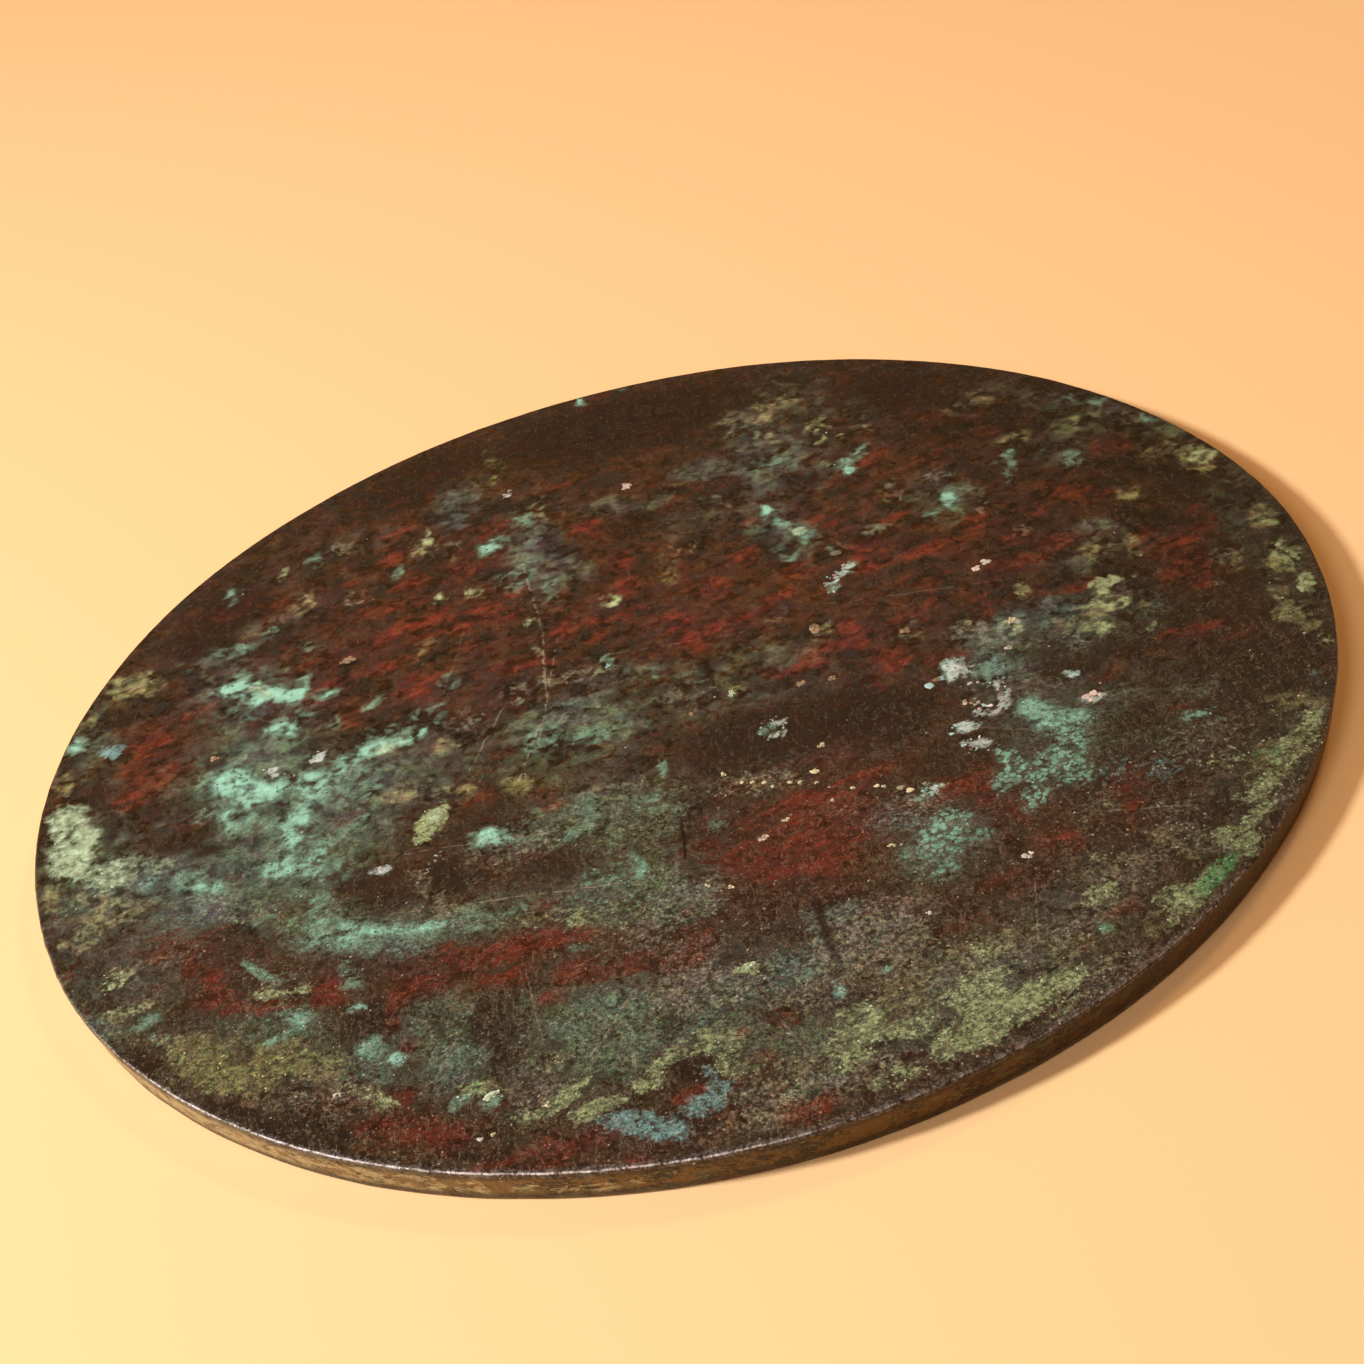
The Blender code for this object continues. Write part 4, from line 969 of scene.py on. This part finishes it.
    # Turquoise crust, brightest where it is thickest, and in small dots on the right of the front
    core = finish.field("turquoise")
    turquoise_colour = finish.mix(paint(64, 84, 66), paint(114, 150, 128), half(blot * 0.7 + fine * 0.5))
    thickest = broken((core - 0.6) * 2.3, small * 0.7 + blot * 0.5, soft=0.8)
    turquoise_colour = finish.mix(turquoise_colour, paint(146, 204, 184), thickest)
    turquoise = broken(core * 1.05, small * 0.5 + blot * 0.7 + fleck * 0.4 + streak * 0.3, 0.4, edge)
    dotty = x_mm.step(14.0, 26.0) * y_mm.step(-22.0, -32.0)
    turquoise = turquoise * (1.0 - dotty * 0.9 * (1.0 - finish.dots(0.85, small + fleck)))
    turquoise_colour = finish.mix(turquoise_colour, paint(124, 176, 154), dotty * 0.7)
    colour = finish.mix(colour, turquoise_colour, turquoise * 0.88)

    # Blue, mint and lilac crusts
    blue = broken(finish.field("blue") * 0.8, small * 0.8 + fine * 0.5, soft=0.6)
    colour = finish.laid(colour, (58, 80, 74), (120, 160, 160), half(small * 0.8 + fine * 0.5), blue * 0.88)
    mint = broken(finish.field("mint") * 0.9, small * 0.5 + middle * 0.6 + fine * 0.4, 0.4, 0.9)
    colour = finish.laid(colour, (104, 126, 94), (178, 200, 168), half(small * 0.8 + fine * 0.4), mint * 0.88)
    lilac = broken(finish.field("lilac") * 0.95, small * 0.6 + fleck * 0.6, 0.42, 0.5)
    colour = finish.laid(colour, (120, 138, 134), (206, 218, 214), half(small * 0.7 + fleck * 0.5),
                         lilac * 0.85)

    # Dark gaps show through everything, then pale wisps and tiny painted glints, most of all in front
    solid = (core + finish.field("mint") + finish.field("blue") + finish.field("lilac")).clamped()
    whole = 1.0 - 0.75 * (solid ** 2.0)
    gaps = broken(0.24 + 0.14 * front, small * 0.5 + fleck * 0.7, soft=0.42) * (1.0 - green * 0.45)
    colour = finish.mix(colour, paint(25, 16, 10), gaps * (0.46 + 0.26 * front) * whole)
    hollows = broken(0.17 + 0.23 * front, blot * 0.8 + middle * 0.3 + fleck * 0.35, soft=0.22)
    colour = finish.mix(colour, paint(25, 18, 13), hollows * (0.5 + 0.3 * front) * whole)
    crack = (1.0 - streak * streak * 20.0).clamped() * front * (green + olive).clamped()
    colour = finish.mix(colour, paint(34, 26, 17), crack * 0.6)
    lively = half(middle * 0.8 + blot * 0.5) * (0.16 + 0.22 * front) * (1.0 - olive * 0.5)
    rich = 1.0 + lively * (fine * 0.7 + dust * 0.8) + 0.15 * blot
    colour = finish.shaded(colour, rich.maximum(0.3))
    # Painted shade: a further darkening towards the right
    colour = finish.shaded(colour, 1.0 - 0.22 * x_mm.step(20.0, 75.0))
    wisp = (1.0 - (upright * upright + small * small * 0.3) * 14.0).clamped()
    colour = finish.mix(colour, paint(150, 132, 112), wisp * (0.14 + 0.2 * front))
    # Painted highlights: tiny pale glints on the grain
    glint = (fine * 0.7 + small * 0.3 - 1.15).clamped()
    colour = finish.mix(colour, paint(192, 184, 162), glint * (0.3 + 1.2 * front))

    # Scratches: bright ones are pale, those below 0 are dark
    scratch = 0.0
    for from_x, from_y, to_x, to_y, width, bright in SCRATCHES:
        scratch = scratch + bright * line_mark(x_mm + small * 0.12, y_mm + middle * 0.2,
                                               from_x, from_y, to_x, to_y, width)
    on_face = height.step(RIM_HEIGHT - 0.9, RIM_HEIGHT - 0.6)
    colour = finish.mix(colour, paint(176, 160, 138), scratch.clamped() * half(small * 1.2) * on_face)
    colour = finish.mix(colour, paint(26, 18, 12), (0.0 - scratch).clamped() * on_face)

    # The rim's wall: brown metal with gold and cream speckle in streaks along it; painted light on its left,
    # painted shade on its right and a painted contact shadow at its foot
    wall_grain = finish.grain(3.8, 5.0, 0.62, finish.stretched(finish.place, 1.0, 1.0, 2.2), 0.8)
    wall_fine = finish.grain(0.7, 4.0, 0.75, finish.stretched(finish.place, 1.0, 1.0, 3.0))
    # Painted light: the brown is lighter towards the left, where the key light falls
    wall = finish.mix(paint(92, 64, 26), paint(118, 92, 58), left)
    for tint, cover in (
            ((30, 17, 7), half(middle * 1.2 + wall_grain * 1.2 + fleck * 0.4, 0.7) * 0.9),
            ((158, 132, 80), broken(0.22, wall_fine * 0.8 + wall_grain * 0.4, soft=0.4) * 0.7),
            ((182, 168, 130), broken(left * 0.56, wall_grain * 0.9 + wall_fine * 0.4, soft=0.3) * 0.75),
            ((92, 116, 98), broken(0.1, large * 0.3 + blot * 0.9 + small * 0.4, soft=0.5) * 0.7),
            # Painted contact shadow: dark along the wall's foot
            ((20, 12, 7), broken(height.step(1.9, 0.3), wall_fine * 0.7, soft=0.8) * 0.9),
            ((26, 16, 9), height.step(3.4, 4.7) * 0.7),
            # Painted shade: darker towards the right, away from the key light
            ((44, 26, 10), x_mm.step(0.0, 70.0) * 0.72)):
        wall = finish.mix(wall, paint(*tint), cover)
    colour = finish.mix(colour, wall, finish.field("wall"))

    # The arris: a fine pale line of painted highlight, with a worn granular band inside it
    inner, outer = WORN_BAND
    band = (x_mm * x_mm + y_mm * y_mm).step(inner ** 2, outer ** 2) * on_face * y_mm.step(-35.0, -75.0)
    colour = finish.laid(colour, (40, 34, 32), (128, 122, 122), half(fine * 0.9 + small * 0.3),
                         broken(band * 0.55, speckle, soft=0.7) * 0.55)
    # Painted highlight: a pale line along the lit front of the arris
    arris = finish.field("arris")
    colour = finish.mix(colour, paint(222, 214, 212), arris * half(fine * 0.5 + small * 0.9))

    # The back: plain brown bronze with a thin green bloom
    back = finish.mix(paint(56, 42, 31), paint(96, 76, 56), half(middle))
    back = finish.mix(back, paint(92, 112, 90), broken(0.2, middle * 0.8 + small * 0.5) * 0.7)
    back = finish.mix(back, paint(98, 54, 38), broken(0.25, large) * 0.6)
    colour = finish.mix(colour, back, finish.field("back"))

    # Crusts are rough and dull, bare metal has some shine, and the finest relief is a bump
    crust = turquoise.maximum(blue).maximum(mint).maximum(lilac).maximum(green * 0.9).maximum(emerald)
    soft = crust.maximum(olive * 0.7).maximum(haze * 0.45).maximum(film * 0.4)
    rough = (0.40 + 0.06 * small + 0.42 * soft).clamped()
    metal = (1.0 - soft).clamped() * 0.2
    swell = finish.grain(2.2, 2.0, 0.6, finish.shifted(0.57)) * (0.4 + 0.6 * sharp)
    lift = fine * 0.022 + swell * 0.05
    normal = finish.node("ShaderNodeBump", None, {"Strength": 0.9, "Distance": MM, "Height": lift},
                         output="Normal")
    finish.surface({"Base Color": colour, "Roughness": rough, "Metallic": metal, "Normal": normal,
                    "Specular IOR Level": 0.28})
    return finish.material


def crust_finish():
    """Chalky mineral: each blob has its own colour."""
    finish = Finish("chalky crust")
    tint = finish.node("ShaderNodeAttribute", {"attribute_name": "tint"}, output="Color")
    grain = finish.grain(0.5, 3.0, 0.6)
    colour = finish.mix(tint, paint(120, 110, 92), (grain * 0.4).clamped() * 0.5)
    normal = finish.node("ShaderNodeBump", None, {"Strength": 0.6, "Distance": MM, "Height": grain * 0.012},
                         output="Normal")
    finish.surface({"Base Color": colour, "Roughness": 0.75, "Specular IOR Level": 0.3, "Normal": normal})
    return finish.material


FLAKE_SEED = 7
RIDGE_GAP_SHARE = 0.4


class Flakes:
    """Small irregular flakes of crust, each a low closed dome sunk a little in the face."""

    SIDES = 9
    ROWS = ((1.0, 0.0), (0.94, 0.55), (0.62, 0.94))
    SUNK = 0.1

    def __init__(self, seed):
        self.random = np.random.RandomState(seed)
        self.points = []
        self.faces = []
        self.tints = []

    def add(self, x, y, length, width, turn, tint, height):
        base = len(self.points)
        cos_turn, sin_turn = math.cos(math.radians(turn)), math.sin(math.radians(turn))
        uneven = self.random.uniform(0.62, 1.12, self.SIDES)
        tilt_x, tilt_y = self.random.uniform(-0.3, 0.3, 2)
        for share, rise in self.ROWS:
            for side in range(self.SIDES):
                angle = 2 * math.pi * (side + 0.3 * (share < 0.9)) / self.SIDES
                part_long = length / 2 * share * uneven[side] * math.cos(angle)
                part_wide = width / 2 * share * uneven[side] * math.sin(angle)
                lift = (height + self.SUNK) * rise
                lift *= 1 + tilt_x * math.cos(angle) + tilt_y * math.sin(angle)
                self.points.append(((x + part_long * cos_turn - part_wide * sin_turn) * MM,
                                    (y + part_long * sin_turn + part_wide * cos_turn) * MM,
                                    (RIM_HEIGHT - self.SUNK + lift) * MM))
        self.points.append((x * MM, y * MM, (RIM_HEIGHT + height) * MM))
        self.points.append((x * MM, y * MM, (RIM_HEIGHT - self.SUNK) * MM))
        top = base + len(self.ROWS) * self.SIDES
        for side in range(self.SIDES):
            after = (side + 1) % self.SIDES
            for row in range(len(self.ROWS) - 1):
                low, high = base + row * self.SIDES, base + (row + 1) * self.SIDES
                self.faces.append((low + side, low + after, high + after, high + side))
            last = base + (len(self.ROWS) - 1) * self.SIDES
            self.faces.append((last + side, last + after, top))
            self.faces.append((base + after, base + side, top + 1))
        shade = self.random.uniform(0.7, 1.05)
        red, green, blue = (min(255, level * shade) for level in TINTS[tint])
        self.tints.extend([paint(red, green, blue)] * (len(self.ROWS) * self.SIDES + 2))

    def cluster(self, x, y, length, width, turn, tint, count):
        """A few flakes that overlap within one blob's outline."""
        cos_turn, sin_turn = math.cos(math.radians(turn)), math.sin(math.radians(turn))
        for _ in range(count):
            part_long = self.random.uniform(-0.32, 0.32) * length
            part_wide = self.random.uniform(-0.32, 0.32) * width
            size = self.random.uniform(0.35, 0.62)
            self.add(x + part_long * cos_turn - part_wide * sin_turn,
                     y + part_long * sin_turn + part_wide * cos_turn,
                     length * size, width * size * self.random.uniform(0.8, 1.2),
                     turn + self.random.uniform(-40, 40), tint, self.random.uniform(0.05, 0.13))

    def mesh(self, name):
        mesh = bpy.data.meshes.new(name)
        mesh.from_pydata(self.points, [], self.faces)
        store = mesh.attributes.new("tint", "FLOAT_COLOR", "POINT")
        store.data.foreach_set("color", np.array(self.tints, dtype=np.float32).ravel())
        mesh.update()
        return mesh


def along_ridge(corners, spacing):
    """Evenly spaced points along a line through the corners."""
    placed = []
    for (from_x, from_y), (to_x, to_y) in zip(corners[:-1], corners[1:]):
        steps = max(1, round(math.hypot(to_x - from_x, to_y - from_y) / spacing))
        for step in range(steps):
            placed.append((from_x + (to_x - from_x) * step / steps, from_y + (to_y - from_y) * step / steps))
    placed.append(corners[-1])
    return placed


def crust_piece():
    """The pale specks, beads and ridges that stand on the face."""
    flakes = Flakes(FLAKE_SEED)
    for x, y, length, width, turn, tint in SPECKS:
        flakes.cluster(x, y, length * 0.95, width * 0.95, turn, tint, 4 + round(2 * length))
    for x, y, width in BEADS:
        flakes.add(x, y, width * 0.9, width * 0.8, 0, "cream", 0.12)
    for corners, width, tint in RIDGES:
        for x, y in along_ridge(corners, 0.24 * width):
            if flakes.random.uniform() > RIDGE_GAP_SHARE:
                shift = flakes.random.uniform(-0.8, 0.8, 2) * width
                size = width * flakes.random.uniform(0.25, 0.8)
                shade = flakes.random.choice((tint, tint, tint, "blue", "white", "tan"))
                flakes.add(x + shift[0], y + shift[1], size * 1.3, size, flakes.random.uniform(0, 180), shade,
                           flakes.random.uniform(0.04, 0.1))
    return new_object("pale_crust", flakes.mesh("pale_crust"))


def grain_tree(material):
    """Geometry Nodes that scatter small mineral grains where the crusts are thick."""
    tree = bpy.data.node_groups.new("grains", "GeometryNodeTree")
    tree.interface.new_socket("Geometry", in_out="INPUT", socket_type="NodeSocketGeometry")
    density = tree.interface.new_socket("Density", in_out="INPUT", socket_type="NodeSocketFloat")
    size = tree.interface.new_socket("Size", in_out="INPUT", socket_type="NodeSocketFloat")
    tree.interface.new_socket("Geometry", in_out="OUTPUT", socket_type="NodeSocketGeometry")

    def node(kind, settings=None, sockets=None):
        made = tree.nodes.new(kind)
        for name, value in (settings or {}).items():
            setattr(made, name, value)
        for key, value in (sockets or {}).items():
            if isinstance(value, bpy.types.NodeSocket):
                tree.links.new(value, made.inputs[key])
            else:
                made.inputs[key].default_value = value
        return made

    given = node("NodeGroupInput")
    cover = node("GeometryNodeInputNamedAttribute", {"data_type": "FLOAT"}, {"Name": "grit"})
    thick = node("ShaderNodeMath", {"operation": "MULTIPLY"},
                 {0: cover.outputs["Attribute"], 1: given.outputs["Density"]})
    spread = node("GeometryNodeDistributePointsOnFaces", {"distribute_method": "RANDOM"},
                  {"Mesh": given.outputs["Geometry"], "Density": thick.outputs[0], "Seed": 5})
    grain = node("GeometryNodeMeshIcoSphere", None, {"Radius": 1.0, "Subdivisions": 1})
    low = node("ShaderNodeVectorMath", {"operation": "SCALE"},
               {0: (0.32, 0.32, 0.14), "Scale": given.outputs["Size"]})
    high = node("ShaderNodeVectorMath", {"operation": "SCALE"},
                {0: (1.0, 0.8, 0.34), "Scale": given.outputs["Size"]})
    scale = node("FunctionNodeRandomValue", {"data_type": "FLOAT_VECTOR"},
                 {0: low.outputs[0], 1: high.outputs[0], "Seed": 3})
    turn = node("FunctionNodeRandomValue", {"data_type": "FLOAT_VECTOR"},
                {0: (0.0, 0.0, 0.0), 1: (0.3, 0.3, 2 * math.pi), "Seed": 4})
    placed = node("GeometryNodeInstanceOnPoints", None,
                  {"Points": spread.outputs["Points"], "Instance": grain.outputs["Mesh"],
                   "Rotation": turn.outputs[0], "Scale": scale.outputs[0]})
    tone = node("FunctionNodeRandomValue", {"data_type": "FLOAT"}, {2: 0.0, 3: 1.0, "Seed": 6})
    toned = node("GeometryNodeStoreNamedAttribute", {"data_type": "FLOAT", "domain": "INSTANCE"},
                 {"Geometry": placed.outputs["Instances"], "Name": "tone", "Value": tone.outputs[1]})
    real = node("GeometryNodeRealizeInstances", None, {"Geometry": toned.outputs["Geometry"]})
    shaded = node("GeometryNodeSetMaterial", None,
                  {"Geometry": real.outputs["Geometry"], "Material": material})
    node("NodeGroupOutput", None, {"Geometry": shaded.outputs["Geometry"]})
    return tree, density.identifier, size.identifier


def grains_piece(source, material):
    """Small grains of mineral on the crusts, made from the casting's own fields."""
    carrier = new_object("grains_carrier", source.data.copy())
    tree, density, size = grain_tree(material)
    scatter = carrier.modifiers.new("grains", "NODES")
    scatter.node_group = tree
    scatter[density] = GRAINS_PER_SQUARE_MM / MM ** 2
    scatter[size] = GRAIN_RADIUS * MM
    bpy.context.view_layer.update()
    evaluated = carrier.evaluated_get(bpy.context.evaluated_depsgraph_get())
    mesh = bpy.data.meshes.new_from_object(evaluated)
    mesh.name = "mineral_grains"
    bpy.data.objects.remove(carrier)
    return new_object("mineral_grains", mesh)


# Each crust's grains: dull and bright colour, and how its field turns into a share
GRAIN_COLOURS = (
    ("red", (96, 40, 26), (150, 78, 52), 1.6, 0.4),
    ("olive", (96, 90, 52), (176, 170, 128), 2.0, 0.4),
    ("malachite", (76, 88, 52), (168, 184, 142), 2.0, 0.4),
    ("turquoise", (58, 86, 70), (132, 182, 160), 2.4, 0.5),
    ("blue", (50, 76, 78), (118, 158, 162), 2.0, 0.4),
    ("mint", (130, 152, 120), (204, 220, 194), 2.0, 0.4),
)


def grain_finish():
    """Each grain has the colour of the crust it grew on."""
    finish = Finish("mineral grains")
    tone = finish.field("tone") ** 1.6
    colour = finish.mix(paint(54, 44, 34), paint(150, 146, 126), tone)
    for kind, dull, bright, gain, start in GRAIN_COLOURS:
        colour = finish.laid(colour, dull, bright, tone, (finish.field(kind) * gain - start).clamped())
    finish.surface({"Base Color": colour, "Roughness": 0.7, "Specular IOR Level": 0.25})
    return finish.material


def turned(vector, axis, angle):
    return Matrix.Rotation(angle, 3, axis) @ vector


def set_camera():
    """The photograph's viewpoint: low in front, the frame a little tilted."""
    elevation = math.radians(CAMERA_ELEVATION)
    forward = Vector((0.0, math.cos(elevation), -math.sin(elevation)))
    right = Vector((1.0, 0.0, 0.0))
    up = right.cross(forward)
    place = -forward * CAMERA_DISTANCE * MM
    forward, right = turned(forward, up, CAMERA_YAW), turned(right, up, CAMERA_YAW)
    forward, up = turned(forward, right, CAMERA_PITCH), turned(up, right, CAMERA_PITCH)
    roll = math.radians(CAMERA_ROLL)
    right, up = turned(right, forward, roll), turned(up, forward, roll)
    camera = bpy.data.cameras.new("camera")
    camera.sensor_width = SENSOR_WIDTH
    camera.lens = CAMERA_FOCAL_PX / PHOTO_SIDE_PX * SENSOR_WIDTH
    camera.clip_start = 0.01
    holder = bpy.data.objects.new("camera", camera)
    pose = Matrix((right, up, -forward)).transposed().to_4x4()
    pose.translation = place
    holder.matrix_world = pose
    bpy.context.scene.collection.objects.link(holder)
    bpy.context.scene.camera = holder


def add_light(name, bearing, elevation, distance, size, power, colour):
    """A soft round light that looks at the mirror. Bearing is counter-clockwise from +X."""
    lamp = bpy.data.lights.new(name, "AREA")
    lamp.shape = "DISK"
    lamp.size = size
    lamp.energy = power
    lamp.color = colour
    holder = bpy.data.objects.new(name, lamp)
    bearing, elevation = math.radians(bearing), math.radians(elevation)
    place = Vector((math.cos(elevation) * math.cos(bearing), math.cos(elevation) * math.sin(bearing),
                    math.sin(elevation))) * distance
    holder.location = place
    holder.rotation_euler = (-place).to_track_quat("-Z", "Y").to_euler()
    bpy.context.scene.collection.objects.link(holder)


# Each light as (name, bearing, elevation, distance, size, power, colour)
LIGHTS = (
    ("key", 190.0, 41.0, 0.9, 0.14, 9.0, (1.0, 0.98, 0.95)),
    ("fill", 45.0, 48.0, 1.3, 0.22, 3.2, (1.0, 0.7, 0.4)),
    ("over", 238.0, 40.0, 1.2, 0.4, 4.2, (1.0, 0.97, 0.93)),
)
SKY_COLOUR = (0.92, 0.42, 0.16, 1.0)
SKY_STRENGTH = 0.34
FLOOR_SIDE = 12.0


def set_studio():
    """A pale floor, a key light from the left, a warm fill from the right rear, a softer light
    from the left front and a dim warm sky."""
    bpy.ops.mesh.primitive_plane_add(size=FLOOR_SIDE)
    floor = bpy.context.object
    floor.name = "floor"
    material = bpy.data.materials.new("warm pale floor")
    material.use_nodes = True
    shader = material.node_tree.nodes["Principled BSDF"]
    shader.inputs["Base Color"].default_value = paint(240, 204, 152)
    shader.inputs["Roughness"].default_value = 0.9
    shader.inputs["Specular IOR Level"].default_value = 0.1
    floor.data.materials.append(material)
    for light in LIGHTS:
        add_light(*light)
    world = bpy.data.worlds.new("dim sky")
    world.use_nodes = True
    sky = world.node_tree.nodes["Background"]
    sky.inputs["Color"].default_value = SKY_COLOUR
    sky.inputs["Strength"].default_value = SKY_STRENGTH
    bpy.context.scene.world = world
    bpy.context.scene.view_settings.view_transform = "Standard"


def finish_piece(piece, material):
    piece.data.materials.clear()
    piece.data.materials.append(material)
    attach(piece, "root")


casting = new_object("mirror_casting", casting_mesh())
pierce_knob(casting)
weather(casting)
finish_piece(casting, bronze_finish())
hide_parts("mirror_disc")

grain_material = grain_finish()
grains = grains_piece(casting, grain_material)
finish_piece(grains, grain_material)

crust = crust_piece()
finish_piece(crust, crust_finish())

set_studio()
set_camera()
